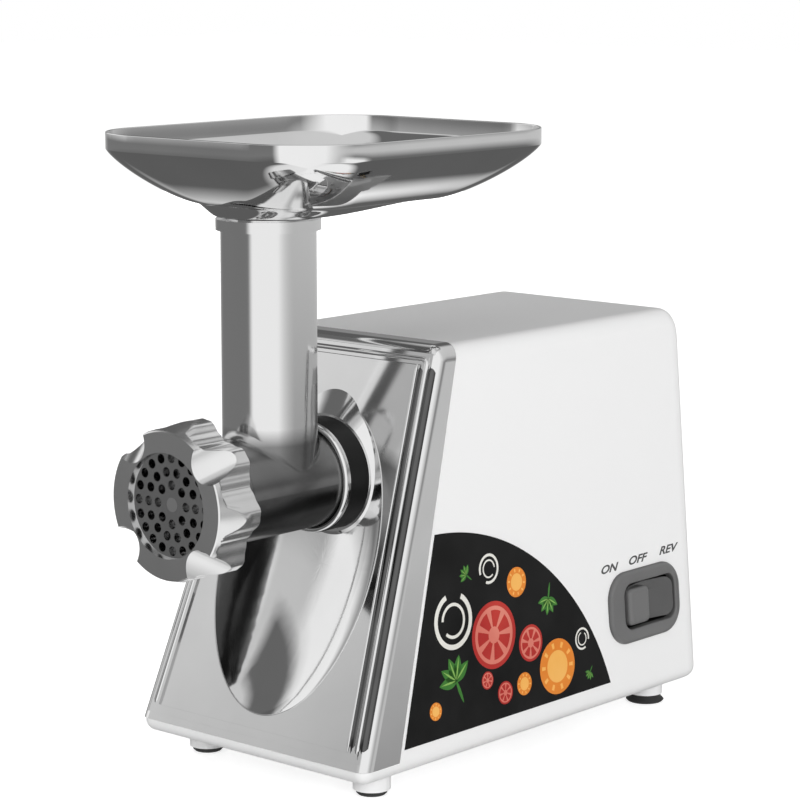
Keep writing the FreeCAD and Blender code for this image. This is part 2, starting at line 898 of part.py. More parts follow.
def build_gear_case():
    wall_end = case_front + size.case_front_wall
    outer = round_plate("case_outer", case_x, case_z, size.case_round, case_front, case_back)
    inner = round_plate(
        "case_inner",
        (case_x[0] + size.case_wall, case_x[1] - size.case_wall),
        (case_z[0] + size.case_wall, case_z[1] - size.case_wall),
        size.case_round - size.case_wall, wall_end, case_back,
    )
    shell = cut("case_shell", outer, inner)
    added = [shell]
    holes = []
    for name, x, z, front, _ in bearing_places():
        boss = front + size.bush_wall
        added.append(rod(f"case_boss_{name}", boss, case_front, wall_end + size.bush_boss, x=x, z=z))
        low = case_front if name == "drive" else wall_end - size.bush_sink
        holes.append(
            rod(f"case_hole_{name}", front + size.fit_gap, low, wall_end + size.bush_boss, x=x, z=z)
        )
    for number, (x, z) in enumerate(case_corners()):
        added.append(rod(f"case_post_{number}", size.tie_post_radius, case_front, case_back, x=x, z=z))
        holes.append(rod(
            f"case_post_hole_{number}", size.screw_radius + size.fit_gap, wall_end, case_back, x=x, z=z,
        ))
    leg_back = case_front + size.leg_depth
    for tag, side in (("left", -1), ("right", 1)):
        inside = size.leg_inside * side
        outside = (size.leg_inside + size.leg_width) * side
        x = (inside, outside) if side > 0 else (outside, inside)
        added.append(box(
            f"case_leg_{tag}", x, (case_front, leg_back),
            (base_inside, size.case_low + size.case_wall),
        ))
        holes.append(rod(
            f"case_leg_hole_{tag}", size.screw_radius + size.fit_gap, base_inside,
            base_inside + size.post_height, "Z", x=leg_middle * side, y=case_front + size.leg_depth / 2,
        ))
    for number, (x, z) in enumerate(collar_screw_places()):
        holes.append(rod(
            f"case_collar_hole_{number}", size.screw_radius + size.fit_gap, case_front, wall_end, x=x, z=z,
        ))
    piece("gear_case_front", cut("gear_case_front", fuse("case_body", *added), *holes))


def collar_screw_places():
    reach = (size.collar_radius + size.collar_flange) / 2
    for angle in (45, 135, 225, 315):
        turn = math.radians(angle)
        yield reach * math.cos(turn), drive_z + reach * math.sin(turn)


def tie_places():
    for x in (-size.tie_across, size.tie_across):
        for z in (-size.tie_up, size.tie_up):
            yield motor_x + x, motor_z + z


def build_case_back():
    sheet_metal = round_plate("case_back_plate", case_x, case_z, size.case_round, case_back, plate_back)
    seat_end = plate_back + size.bearing_width
    seat = rod(
        "case_back_seat", size.bearing_radius + size.bush_wall, case_back, seat_end, x=motor_x, z=motor_z,
    )
    added = [sheet_metal, seat]
    holes = [
        rod("case_back_bearing", size.bearing_radius + size.fit_gap, plate_back, seat_end,
            x=motor_x, z=motor_z),
        rod("case_back_shaft", size.module_one * pinion_half + size.shaft_clear, case_back, seat_end,
            x=motor_x, z=motor_z),
    ]
    for name, x, z, _, rear in bearing_places():
        holes.append(rod(f"case_back_{name}", rear + size.fit_gap, case_back, plate_back, x=x, z=z))
    for number, (x, z) in enumerate(tie_places()):
        added.append(rod(
            f"case_back_tie_{number}", size.tie_post_radius, plate_back, size.stator_start, x=x, z=z,
        ))
        holes.append(rod(
            f"case_back_tie_hole_{number}", size.tie_radius + size.fit_gap, plate_back,
            size.stator_start, x=x, z=z,
        ))
    for number, (x, z) in enumerate(case_corners()):
        holes.append(rod(
            f"case_back_hole_{number}", size.screw_radius + size.fit_gap, case_back, plate_back, x=x, z=z,
        ))
    piece("gear_case_back", cut("gear_case_back", fuse("case_back_body", *added), *holes))
    screws = [
        screw(f"case_screw_{number}", plate_back, case_back - size.post_height / 2, 1, x=x, z=z)
        for number, (x, z) in enumerate(case_corners())
    ]
    piece("gear_case_screws", group("gear_case_screws", screws))


def build_collar():
    front = -size.collar_front
    flange_front = case_front - size.collar_flange_thickness
    ring = turned("collar_ring", [
        (size.collar_bore, front),
        (size.collar_radius, front),
        (size.collar_radius, flange_front),
        (size.collar_flange, flange_front),
        (size.collar_flange, case_front),
        (size.collar_bore, case_front),
    ], z=drive_z)
    holes = [
        rod(f"collar_hole_{number}", size.screw_radius + size.fit_gap, flange_front, case_front, x=x, z=z)
        for number, (x, z) in enumerate(collar_screw_places())
    ]
    piece("socket_collar", cut("socket_collar", ring, *holes))
    screws = [
        screw(f"collar_screw_{number}", flange_front, case_front + size.case_front_wall, -1, x=x, z=z)
        for number, (x, z) in enumerate(collar_screw_places())
    ]
    piece("collar_screws", group("collar_screws", screws))


# Motor

stator_end = size.stator_start + size.stator_length
bracket_end = size.bracket_start + size.bracket_depth
bracket_plate = bracket_end - size.bracket_wall
stator_bore = size.armature_radius + size.air_gap
motor_span_x = (motor_x - size.stator_width / 2, motor_x + size.stator_width / 2)
motor_span_z = (motor_z - size.stator_height / 2, motor_z + size.stator_height / 2)


def motor_rod(name, radius, low, high):
    return rod(name, radius, low, high, x=motor_x, z=motor_z)


def ties(name, radius, low, high):
    for number, (x, z) in enumerate(tie_places()):
        yield rod(f"{name}_{number}", radius, low, high, x=x, z=z)


def build_stator():
    block = round_plate(
        "stator_block", motor_span_x, motor_span_z, size.stator_round, size.stator_start, stator_end,
    )
    cavity = motor_rod("stator_cavity", size.stator_cavity, size.stator_start, stator_end)
    poles = box(
        "stator_poles",
        (motor_x - size.pole_half_width, motor_x + size.pole_half_width),
        (size.stator_start, stator_end),
        (motor_z - size.stator_cavity, motor_z + size.stator_cavity),
    )
    windows = cut("stator_windows", cavity, poles)
    bore = motor_rod("stator_bore", stator_bore, size.stator_start, stator_end)
    holes = ties("stator_tie", size.tie_radius + size.fit_gap, size.stator_start, stator_end)
    piece("stator_core", cut("stator_core", block, windows, bore, *holes))


def build_field_coils():
    """Two flat coils, one round each pole, between the poles and the cavity's wall."""
    low = size.stator_start - size.coil_overhang
    high = stator_end + size.coil_overhang
    reach = size.stator_cavity - size.coil_gap
    inside = size.pole_half_width + size.coil_gap
    coils = []
    for tag, side in (("lower", -1), ("upper", 1)):
        near = motor_z + size.coil_low * side
        far = motor_z + size.stator_cavity * side
        z = (near, far) if side > 0 else (far, near)
        outer = box(f"coil_{tag}_outer", (motor_x - reach, motor_x + reach), (low, high), z)
        hollow = box(
            f"coil_{tag}_hollow", (motor_x - inside, motor_x + inside),
            (size.stator_start - size.coil_gap, stator_end + size.coil_gap), z,
        )
        loop = cut(f"coil_{tag}_loop", outer, hollow)
        skin = motor_rod(f"coil_{tag}_skin", reach, low, high)
        inner = motor_rod(f"coil_{tag}_inner", stator_bore + size.coil_gap, low, high)
        coils.append(common(f"coil_{tag}", loop, cut(f"coil_{tag}_ring", skin, inner)))
    piece("field_coils", group("field_coils", coils))


def around(count):
    for number in range(round(float(count))):
        yield number, 360.0 * number / round(float(count))


def spokes(name, count, width, inside, outside, low, high):
    """Radial bars about the motor's axis, from inside to outside."""
    for number, angle in around(count):
        bar = doc.addObject("Part::Box", f"{name}_{number}")
        bind(bar, Length=outside - inside, Width=high - low, Height=width)
        turn = FreeCAD.Rotation(Y_AXIS, angle)
        corner = turn.multVec(Vector(float(inside), 0, -float(width) / 2))
        spot = Vector(float(motor_x), float(low), float(motor_z))
        bar.Placement = FreeCAD.Placement(spot + corner, turn)
        yield bar


def build_rotor():
    start = size.stator_start
    shaft_low = one_start - size.pinion_overhang
    teeth = teeth_block(
        "rotor_teeth", size.module_one, size.pinion_teeth, facing_one + 180 + half_tooth,
        shaft_low, one_end + size.pinion_overhang, motor_x, motor_z,
    )
    shaft = motor_rod("rotor_rod", size.motor_shaft_radius, shaft_low, bracket_end)
    piece("rotor_shaft", fuse("rotor_shaft", teeth, shaft))
    hole = size.motor_shaft_radius + size.fit_gap
    stack = motor_rod("armature_stack", size.armature_radius, start, stator_end)
    mouths = spokes(
        "armature_slot", size.armature_slots, size.slot_mouth,
        size.armature_radius - size.slot_deep, size.armature_radius + size.slot_deep, start, stator_end,
    )
    bore = motor_rod("armature_bore", hole, start, stator_end)
    piece("armature_core", cut("armature_core", stack, bore, *mouths))
    outside = size.armature_radius - size.slot_mouth
    over = size.winding_overhang
    crown = over / 3
    heads = [
        turned(f"winding_{tag}", [
            (hole, near),
            (outside, near),
            (outside, near + (over - crown) * side),
            (outside - crown, near + over * side),
            (hole, near + over * side),
        ], x=motor_x, z=motor_z)
        for tag, near, side in (("front", start, -1), ("rear", stator_end, 1))
    ]
    piece("armature_windings", group("armature_windings", heads))
    end = size.commutator_start + size.commutator_length
    drum = motor_rod("commutator_drum", size.commutator_radius, size.commutator_start, end)
    slits = spokes(
        "commutator_slit", size.commutator_bars, size.bar_slit,
        size.commutator_radius - size.slit_depth, size.commutator_radius + size.slit_depth,
        size.commutator_start, end,
    )
    bore = motor_rod("commutator_bore", hole, size.commutator_start, end)
    piece("commutator", cut("commutator", drum, bore, *slits))


def build_fan():
    low = size.fan_start
    high = low + size.fan_depth
    hub = motor_rod("fan_hub", size.fan_hub_radius, low, high)
    disc = motor_rod("fan_disc", size.fan_radius, low, low + size.fan_plate)
    blades = spokes(
        "fan_blade", size.fan_blades, size.blade_thickness,
        size.fan_hub_radius - size.blade_thickness, size.fan_radius - size.blade_thickness, low, high,
    )
    bore = motor_rod("fan_bore", size.motor_shaft_radius + size.fit_gap, low, high)
    piece("cooling_fan", cut("cooling_fan", fuse("fan_body", hub, disc, *blades), bore))


rear_bearing_start = bracket_plate - size.bearing_width


def build_bearings():
    rings = []
    for tag, low in (("front", plate_back), ("rear", rear_bearing_start)):
        outer = motor_rod(f"bearing_{tag}_outer", size.bearing_radius, low, low + size.bearing_width)
        inner = motor_rod(
            f"bearing_{tag}_inner", size.motor_shaft_radius + size.running_gap,
            low, low + size.bearing_width,
        )
        rings.append(cut(f"bearing_{tag}", outer, inner))
    piece("motor_bearings", group("motor_bearings", rings))


brush_middle = size.commutator_start + size.commutator_length / 2
brush_end = size.stator_width / 2 + size.brush_cap


def brush_box(name, side, inside, outside, margin):
    """A bar along X beside the commutator, on the left or right of it."""
    near = motor_x + inside * side
    far = motor_x + outside * side
    half_width = size.brush_width / 2 + margin
    half_height = size.brush_height / 2 + margin
    return box(
        name, (near, far) if side > 0 else (far, near),
        (brush_middle - half_width, brush_middle + half_width),
        (motor_z - half_height, motor_z + half_height),
    )


def build_bracket():
    """The rear end bracket: a box open to the front, with the bearing seat in its back."""
    outer = round_plate(
        "bracket_outer", motor_span_x, motor_span_z, size.stator_round, size.bracket_start, bracket_end,
    )
    wall = size.bracket_wall
    inner = round_plate(
        "bracket_inner",
        (motor_span_x[0] + wall, motor_span_x[1] - wall),
        (motor_span_z[0] + wall, motor_span_z[1] - wall),
        size.stator_round - wall, size.bracket_start, bracket_plate,
    )
    shell = cut("bracket_shell", outer, inner)
    seat = motor_rod(
        "bracket_seat", size.bearing_radius + size.bush_wall, rear_bearing_start, bracket_end,
    )
    posts = ties("bracket_post", size.tie_post_radius, stator_end, bracket_end)
    holes = [
        motor_rod("bracket_bearing", size.bearing_radius + size.fit_gap, rear_bearing_start, bracket_plate),
        motor_rod("bracket_shaft", size.motor_shaft_radius + size.shaft_clear, bracket_plate, bracket_end),
        *ties("bracket_hole", size.tie_radius + size.fit_gap, stator_end, bracket_end),
    ]
    for tag, side in (("left", -1), ("right", 1)):
        margin = size.brush_wall + size.fit_gap
        holes.append(brush_box(f"bracket_brush_{tag}", side, size.commutator_radius, brush_end, margin))
    piece("motor_bracket", cut("motor_bracket", fuse("bracket_body", shell, seat, *posts), *holes))
    screws = [
        screw(f"tie_screw_{number}", bracket_end, plate_back, 1, x=x, z=z)
        for number, (x, z) in enumerate(tie_places())
    ]
    piece("motor_screws", group("motor_screws", screws))


def build_brushes():
    holders = []
    brushes = []
    near = size.commutator_radius + size.brush_gap
    for tag, side in (("left", -1), ("right", 1)):
        outer = brush_box(f"holder_{tag}_outer", side, near + size.brush_wall, brush_end, size.brush_wall)
        inner = brush_box(
            f"holder_{tag}_inner", side, near + size.brush_wall, brush_end - size.brush_cap, size.fit_gap,
        )
        holders.append(cut(f"holder_{tag}", outer, inner))
        bar = brush_box(f"brush_{tag}_bar", side, size.brush_cap, near + size.brush_length, as_size(0.0))
        face = motor_rod(
            f"brush_{tag}_face", near, size.commutator_start - size.brush_width,
            size.commutator_start + size.commutator_length + size.brush_width,
        )
        brushes.append(cut(f"brush_{tag}", bar, face))
    piece("brush_holders", group("brush_holders", holders))
    piece("carbon_brushes", group("carbon_brushes", brushes))


def build_brush_springs():
    """A small coil spring between each brush and the cap of its holder."""
    inside = size.commutator_radius + size.brush_gap + size.brush_length
    outside = brush_end - size.brush_cap
    wire = size.spring_wire / 2
    pitch = (outside - inside - size.spring_wire) / size.spring_turns
    springs = []
    for tag, side in (("left", -1), ("right", 1)):
        body = new_body(f"spring_{tag}")
        sketch = sketch_on(body, "XZ_Plane")
        middle = Vector(float(size.spring_radius), float(wire), 0)
        sketch.addGeometry(Part.Circle(middle, Z_AXIS, float(wire)))
        index = sketch.addConstraint(Sketcher.Constraint("Radius", 0, float(wire)))
        sketch.setExpression(f"Constraints[{index}]", wire.text)
        pin_point(sketch, 0, 3, size.spring_radius, wire)
        coil = body.newObject("PartDesign::AdditiveHelix", f"spring_{tag}_coil")
        coil.Profile = sketch
        coil.ReferenceAxis = (sketch, ["V_Axis"])
        coil.Mode = 1
        bind(coil, Pitch=pitch, Turns=size.spring_turns)
        place(body, motor_x + inside * side, brush_middle, motor_z, FreeCAD.Rotation(Y_AXIS, 90 * side))
        springs.append(body)
    piece("brush_springs", group("brush_springs", springs))


def lead(name, points):
    """An insulated lead along straight runs, joined by arcs of one radius."""
    bend = float(size.lead_bend)
    edges = []
    start = points[0]
    for before, corner, after in zip(points, points[1:], points[2:]):
        arriving = (corner - before).normalize()
        leaving = (after - corner).normalize()
        half = arriving.getAngle(leaving) / 2
        back = bend * math.tan(half)
        middle = (leaving - arriving).normalize() * (bend / math.cos(half) - bend)
        arc = Part.Arc(corner - arriving * back, corner + middle, corner + leaving * back)
        edges += [Part.LineSegment(start, corner - arriving * back).toShape(), arc.toShape()]
        start = corner + leaving * back
    edges.append(Part.LineSegment(start, points[-1]).toShape())
    path = Part.Wire(edges)
    circle = Part.Circle(points[0], points[1] - points[0], float(size.lead_radius))
    tube = path.makePipeShell([Part.Wire(circle.toShape())], True, False)
    return made(name, tube)


def build_leads():
    """The live, neutral and motor leads, from the cord's inlet to the switch and the brushes."""
    side = float(size.stator_width / 2 + size.lead_room)
    beside = float(brush_end + size.lead_room)
    axis_x, axis_z = float(motor_x), float(motor_z)
    inlet_y = float(rear_reach - size.wall - size.gland_inside)
    back = (float(bracket_end) + inlet_y) / 2
    inlet_z = float(size.gland_height)
    brush_y = float(brush_middle)
    rise = float(size.lead_rise)
    spread = float(size.lead_spread)
    front = float(size.bracket_start) - rise

    def terminal(number):
        depth = float(size.switch_depth + size.terminal_length)
        return switch_place.multVec(Vector(float(terminal_places[number]), 0, -depth))

    end = terminal(2)
    near_x = axis_x + side
    inlet_x = float(gland_x)
    live = lead("live_lead", [
        end,
        Vector(near_x, end.y, end.z - (end.x - near_x) * float(side_lean)),
        Vector(near_x, back, end.z),
        Vector(near_x, back, inlet_z),
        Vector(inlet_x + spread, back, inlet_z),
        Vector(inlet_x + spread, inlet_y, inlet_z),
    ])
    neutral = lead("neutral_lead", [
        Vector(axis_x - float(brush_end), brush_y, axis_z),
        Vector(axis_x - beside, brush_y, axis_z),
        Vector(axis_x - beside, back, axis_z),
        Vector(inlet_x - spread, back, inlet_z),
        Vector(inlet_x - spread, inlet_y, inlet_z),
    ])
    end = terminal(0)
    supply = lead("supply_lead", [
        end,
        Vector(near_x, end.y, end.z - (end.x - near_x) * float(side_lean)),
        Vector(near_x, front, end.z),
        Vector(near_x, front, axis_z + rise),
        Vector(axis_x + beside, brush_y, axis_z + rise),
        Vector(axis_x + beside, brush_y, axis_z),
        Vector(axis_x + float(brush_end), brush_y, axis_z),
    ])
    piece("internal_leads", group("internal_leads", [live, neutral, supply]))


def build_cushion():
    """A rubber block that carries the motor's rear end on the base."""
    middle = (size.bracket_start + bracket_end) / 2
    half = size.cushion_length / 2
    piece("motor_cushion", box(
        "motor_cushion",
        (motor_x - size.cushion_width / 2, motor_x + size.cushion_width / 2),
        (middle - half, middle + half), (base_inside, motor_span_z[0]),
    ))


# Housing shells, base and feet


def post_places():
    for side in (-1, 1):
        for y in (size.post_front, rear_reach - size.post_rear):
            yield side, size.post_across * side, y


def half_space(name, lean_at, gap, front):
    """Everything in front of, or behind, a slanted plane across the housing."""
    far = as_size(-FAR if front else FAR)
    low = as_size(0.0)
    high = size.roof_height * 2
    corners = [(lean_at(low) + gap, low), (lean_at(high) + gap, high), (far, high), (far, low)]
    return plate(name, corners, as_size(-FAR), as_size(FAR), along="X")


switch_y = rear_reach - size.switch_back - size.rocker_offset
rocker_y = size.rocker_offset
terminal_places = (rocker_y - size.terminal_pitch, rocker_y, rocker_y + size.terminal_pitch)
switch_place = side_frame(switch_y, size.switch_height)
opening_x = size.rocker_half_length + size.rocker_swing_gap
opening_y = size.rocker_half_height + size.rocker_gap
gland_x = -size.gland_across


def switch_round_slab(name, margin, radius, low, high):
    return round_slab(
        name, switch_place,
        (rocker_y - opening_x - margin, rocker_y + opening_x + margin),
        (-opening_y - margin, opening_y + margin), radius, low, high,
    )


def vent_places(count):
    """The middles of a row of vent slots across the housing."""
    total = round(float(count))
    for number in range(total):
        yield number, size.slot_pitch * (number - (total - 1) / 2)


def build_casing():
    outer = housing_block(
        "casing_outer", as_size(0.0), as_size(0.0), size.seat_height, size.roof_height, as_size(0.0),
    )
    inner = housing_block(
        "casing_inner", size.wall, size.wall, size.seat_height - size.wall,
        size.roof_height - size.wall, size.wall,
    )
    shell = cut("casing_walls", outer, inner)
    rear = half_space("casing_rear", seam_at, size.seam_gap / 2, front=False)
    added = [common("casing_part", shell, rear)]
    holes = [
        switch_round_slab(
            "casing_switch", size.switch_wall + size.rocker_gap, size.switch_wall, -size.switch_depth,
            size.bezel_proud,
        ),
        rod("casing_gland", size.gland_radius, rear_reach - size.rear_round,
            rear_reach + size.rear_round, x=gland_x, z=size.gland_height),
    ]
    top = size.seat_height + size.post_height
    for number, (side, x, y) in enumerate(post_places()):
        post = rod(f"casing_post_{number}", size.post_radius, size.seat_height, top, "Z", x=x, y=y)
        wall_x = half_width_at(top) * side
        web = box(
            f"casing_web_{number}", (x, wall_x) if side > 0 else (wall_x, x),
            (y - size.wall / 2, y + size.wall / 2), (size.seat_height, top),
        )
        added += [common(f"casing_post_in_{number}", fuse(f"casing_stay_{number}", post, web), outer)]
        holes.append(rod(
            f"casing_post_hole_{number}", size.screw_radius + size.fit_gap, size.seat_height,
            top - size.wall, "Z", x=x, y=y,
        ))
    for number, middle in vent_places(size.rear_vents):
        holes.append(box(
            f"casing_vent_{number}", (middle - size.slot_width / 2, middle + size.slot_width / 2),
            (rear_reach - size.rear_round, rear_reach + size.wall),
            (motor_z + size.slot_pitch, motor_z + size.slot_pitch + size.slot_length),
        ))
    piece("casing_shell", cut("casing_shell", fuse("casing_body", *added), *holes))


front_slope = math.hypot(float(housing_height), float(size.foot_reach - size.brow_reach))


def front_half_width(up, inset):
    """Half the slanted front's width at a distance up the slope, drawn in by inset."""
    return base_half - as_size(up) * ((base_half - roof_half) / front_slope) - inset


def front_outline(inset, foot):
    """Corners of the slanted front, drawn in by inset at the sides and top."""
    top = as_size(front_slope) - inset
    low = front_half_width(foot, inset)
    high = front_half_width(top, inset)
    return [(-low, foot), (low, foot), (high, top), (-high, top)]


def scoop(name, grow):
    """An ellipsoid, half sunk below the slanted front: there it has root 3/4 of its full width."""
    depth = size.scoop_depth + size.panel_recess
    full = math.sqrt(3 / 4)
    thing = doc.addObject("Part::Ellipsoid", name)
    bind(
        thing,
        Radius1=depth * 2 + grow,
        Radius2=size.scoop_half_width / full + grow,
        Radius3=size.scoop_half_height / full + grow,
    )
    thing.Angle1 = -90
    thing.Angle2 = 90
    frame = front_frame()
    centre = Vector(0, float(size.scoop_middle), float(depth))
    thing.Placement = FreeCAD.Placement(frame.multVec(centre), frame.Rotation)
    return thing


def build_cover():
    proud = -size.cover_proud
    outer = housing_block(
        "cover_outer", proud, proud, size.seat_height, size.roof_height + size.cover_proud, as_size(0.0),
    )
    inner = housing_block(
        "cover_inner", size.wall, size.cover_wall, size.seat_height - size.wall,
        size.roof_height - size.wall, size.wall,
    )
    front = half_space("cover_front", seam_at, -size.seam_gap / 2, front=True)
    skin = common("cover_skin", cut("cover_walls", outer, inner), front)
    frame = front_frame()
    low = -size.scoop_depth * 2
    panel = front_outline(size.border, size.border_foot)
    behind = slab("cover_behind", frame, panel, low, -size.panel_recess)
    bowl = common("cover_bowl", scoop("cover_bowl_skin", size.scoop_wall), behind)
    recess = slab("cover_recess", frame, panel, -size.panel_recess, size.scoop_depth)
    bead_low = size.cover_proud - size.bead_depth
    bead_out = slab(
        "cover_bead_out", frame, front_outline(size.bead_inset, size.bead_inset), bead_low, size.scoop_depth,
    )
    bead_inset = size.bead_inset + size.bead_width
    bead_in = slab(
        "cover_bead_in", frame, front_outline(bead_inset, bead_inset), bead_low, size.scoop_depth,
    )
    mouth_radius = size.collar_radius + size.cover_gap
    lip = mouth_radius + size.mouth_lip
    mouth_rear = size.mouth_rise - size.mouth_front
    rim = turned("cover_mouth_rim", [
        (as_size(0.0), -size.mouth_front),
        (lip, -size.mouth_front),
        (lip + size.mouth_spread, mouth_rear),
        (lip + size.mouth_spread, mouth_rear + size.scoop_wall),
        (lip, size.scoop_wall - size.mouth_front),
        (as_size(0.0), size.scoop_wall - size.mouth_front),
    ], z=drive_z)
    mouth = rod("cover_mouth", mouth_radius, -size.foot_reach, case_front, z=drive_z)
    sunk = cut(
        "cover_sunk", fuse("cover_body", skin, bowl), recess, cut("cover_bead", bead_out, bead_in),
        scoop("cover_scoop", as_size(0.0)),
    )
    piece("front_cover", cut("front_cover", fuse("cover_with_rim", sunk, rim), mouth))


def foot_places():
    front = size.front_foot_back - size.foot_reach
    rear = rear_reach - size.rear_foot_back
    for side in (-1, 1):
        yield "front", size.foot_across * side, front
        yield "rear", size.foot_across * side, rear


def foot_shoulder(end):
    return size.pad_height if end == "front" else size.rear_foot_height


def build_base():
    block = box(
        "base_block", (-base_half, base_half), (-size.foot_reach, rear_reach),
        (size.base_floor, size.seat_height),
    )

    def radius(edge):
        middle = edge.CenterOfMass
        if abs(edge.Vertexes[0].Point.z - edge.Vertexes[1].Point.z) > 1:
            return size.rear_round if middle.y > 0 else size.front_round
        return size.base_round if middle.z < float(size.base_floor) + 1 else None

    added = [rounded("base_rounded", block, radius)]
    rim = size.base_rim
    holes = [box(
        "base_hollow", (rim - base_half, base_half - rim),
        (rim - size.foot_reach, rear_reach - rim), (base_inside, size.seat_height),
    )]
    for number, (end, x, y) in enumerate(foot_places()):
        low = foot_shoulder(end)
        added.append(rod(f"base_foot_{number}", size.foot_boss_radius, low, base_inside, "Z", x=x, y=y))
        holes.append(rod(
            f"base_stem_{number}", size.foot_stem_radius + size.fit_gap, low, base_inside, "Z", x=x, y=y,
        ))
    for number, (side, x, y) in enumerate(post_places()):
        added.append(rod(
            f"base_post_{number}", size.post_radius, size.base_floor, size.seat_height, "Z", x=x, y=y,
        ))
        holes += screw_holes(f"base_post_hole_{number}", x, y, size.seat_height)
    for number, (x, y) in enumerate(leg_places()):
        holes += screw_holes(f"base_leg_hole_{number}", x, y, base_inside)
    for number, middle in vent_places(size.base_vents):
        holes.append(box(
            f"base_vent_{number}", (middle - size.slot_width / 2, middle + size.slot_width / 2),
            (size.fan_start - size.slot_length / 2, size.fan_start + size.slot_length / 2),
            (size.base_floor, base_inside),
        ))
    solid = cut("base_core", added[0], holes[0])
    piece("base_plate", cut("base_plate", fuse("base_whole", solid, *added[1:]), *holes[1:]))
    screws = [
        screw(f"base_screw_{number}", head_seat, size.seat_height + size.post_height / 2, -1, "Z", x=x, y=y)
        for number, (side, x, y) in enumerate(post_places())
    ]
    screws += [
        screw(f"leg_screw_{number}", head_seat, base_inside + size.post_height / 2, -1, "Z", x=x, y=y)
        for number, (x, y) in enumerate(leg_places())
    ]
    piece("base_screws", group("base_screws", screws))


head_seat = size.base_floor + size.floor_thickness / 2


def screw_holes(name, x, y, top):
    """A sunk seat for a screw's head under the base, and the hole for its shank."""
    return [
        rod(f"{name}_seat", size.screw_head_radius + size.fit_gap, size.base_floor - size.screw_head_height,
            head_seat, "Z", x=x, y=y),
        rod(f"{name}_shank", size.screw_radius + size.fit_gap, size.base_floor, top, "Z", x=x, y=y),
    ]


def leg_places():
    for side in (-1, 1):
        yield leg_middle * side, case_front + size.leg_depth / 2


def build_feet():
    """Front pads and flared rear feet under the base's bosses, on push-in stems."""
    pads = []
    feet = []
    for number, (end, x, y) in enumerate(foot_places()):
        radius = size.pad_radius if end == "front" else size.rear_foot_radius
        neck = size.pad_radius if end == "front" else size.rear_foot_neck
        shoulder = foot_shoulder(end)
        lip = size.foot_lip
        foot = turned(f"{end}_foot_{number}", [
            (0.0, 0.0),
            (radius - lip, 0.0),
            (radius, lip),
            (neck, shoulder),
            (size.foot_stem_radius, shoulder),
            (size.foot_stem_radius, base_inside),
            (0.0, base_inside),
        ], x=x, y=y, upright=True)
        (pads if end == "front" else feet).append(foot)
    piece("front_foot_pads", group("front_foot_pads", pads))
    piece("rear_feet", group("rear_feet", feet))


# Switch, cord inlet and printed panel


def build_switch():
    low = -size.switch_wall * 2
    half = size.bezel_length / 2
    tall = size.bezel_height / 2
    flange = round_slab(
        "bezel_flange", switch_place, (-half, half), (-tall, tall), size.bezel_round, as_size(0.0),
        size.bezel_proud,
    )
    crest = float(size.bezel_proud)

    def radius(edge):
        ends = [switch_place.inverse().multVec(vertex.Point) for vertex in edge.Vertexes]
        return size.bezel_edge if all(abs(point.z - crest) < 0.01 for point in ends) else None

    soft = rounded("bezel_soft", flange, radius)
    neck = switch_round_slab("bezel_neck", size.switch_wall, size.switch_wall, low, as_size(0.0))
    hole = switch_round_slab("bezel_hole", as_size(0.0), size.switch_wall, low, size.bezel_proud)
    piece("switch_bezel", cut("switch_bezel", fuse("bezel_body", soft, neck), hole))
    block = switch_round_slab("switch_block", size.switch_wall, size.switch_wall, -size.switch_depth, low)
    well = switch_round_slab("switch_hollow", as_size(0.0), size.switch_wall, -size.switch_well, low)
    pin_reach = opening_y + size.switch_wall
    holes = rocker_pin("switch_pin_hole", size.pivot_radius + size.running_gap, pin_reach)
    piece("switch_body", cut("switch_body", block, well, holes))
    reach = size.rocker_half_length
    top = size.rocker_proud
    body = new_body("rocker_block")
    sketch = sketch_on(body, "XZ_Plane", lift=-size.rocker_half_height)
    outline(sketch, [
        (rocker_y - reach, -size.rocker_depth),
        (rocker_y, -size.rocker_depth - size.rocker_dip),
        (rocker_y + reach, -size.rocker_depth),
        (rocker_y + reach, top),
        (rocker_y, top - size.rocker_dip),
        (rocker_y - size.paddle_slope, size.paddle_proud),
        (rocker_y - reach + size.paddle_start, size.paddle_proud),
        (rocker_y - reach, top),
    ])
    pad(body, sketch, size.rocker_half_height * 2)
    body.Placement = switch_place
    pin = rocker_pin("rocker_pin", size.pivot_radius, pin_reach)
    piece("switch_rocker", fuse("switch_rocker", body, pin))
    tabs = []
    for number, x in enumerate(terminal_places):
        tabs.append(slab(f"terminal_{number}", switch_place, [
            (x - size.terminal_thickness / 2, -size.terminal_width / 2),
            (x + size.terminal_thickness / 2, -size.terminal_width / 2),
            (x + size.terminal_thickness / 2, size.terminal_width / 2),
            (x - size.terminal_thickness / 2, size.terminal_width / 2),
        ], -size.switch_depth - size.terminal_length, -size.switch_depth))
    piece("switch_terminals", group("switch_terminals", tabs))


def rocker_pin(name, radius, reach):
    """A pin through the rocker, up and down the side, below the bezel."""
    thing = doc.addObject("Part::Cylinder", name)
    bind(thing, Radius=radius, Height=reach * 2)
    low = switch_place.multVec(Vector(float(rocker_y), -float(reach), -float(size.rocker_pivot)))
    thing.Placement = FreeCAD.Placement(low, switch_place.Rotation * ALONG["Y"])
    return thing


def build_gland():
    face = rear_reach
    wall_inside = face - size.wall
    bush = turned("gland_bush", [
        (size.gland_bore, wall_inside - size.gland_inside),
        (size.gland_radius - size.fit_gap, wall_inside - size.gland_inside),
        (size.gland_radius - size.fit_gap, face),
        (size.gland_flange, face),
        (size.gland_flange, face + size.gland_proud),
        (size.gland_bore, face + size.gland_proud),
    ], x=gland_x, z=size.gland_height)
    piece("cord_gland", bush)


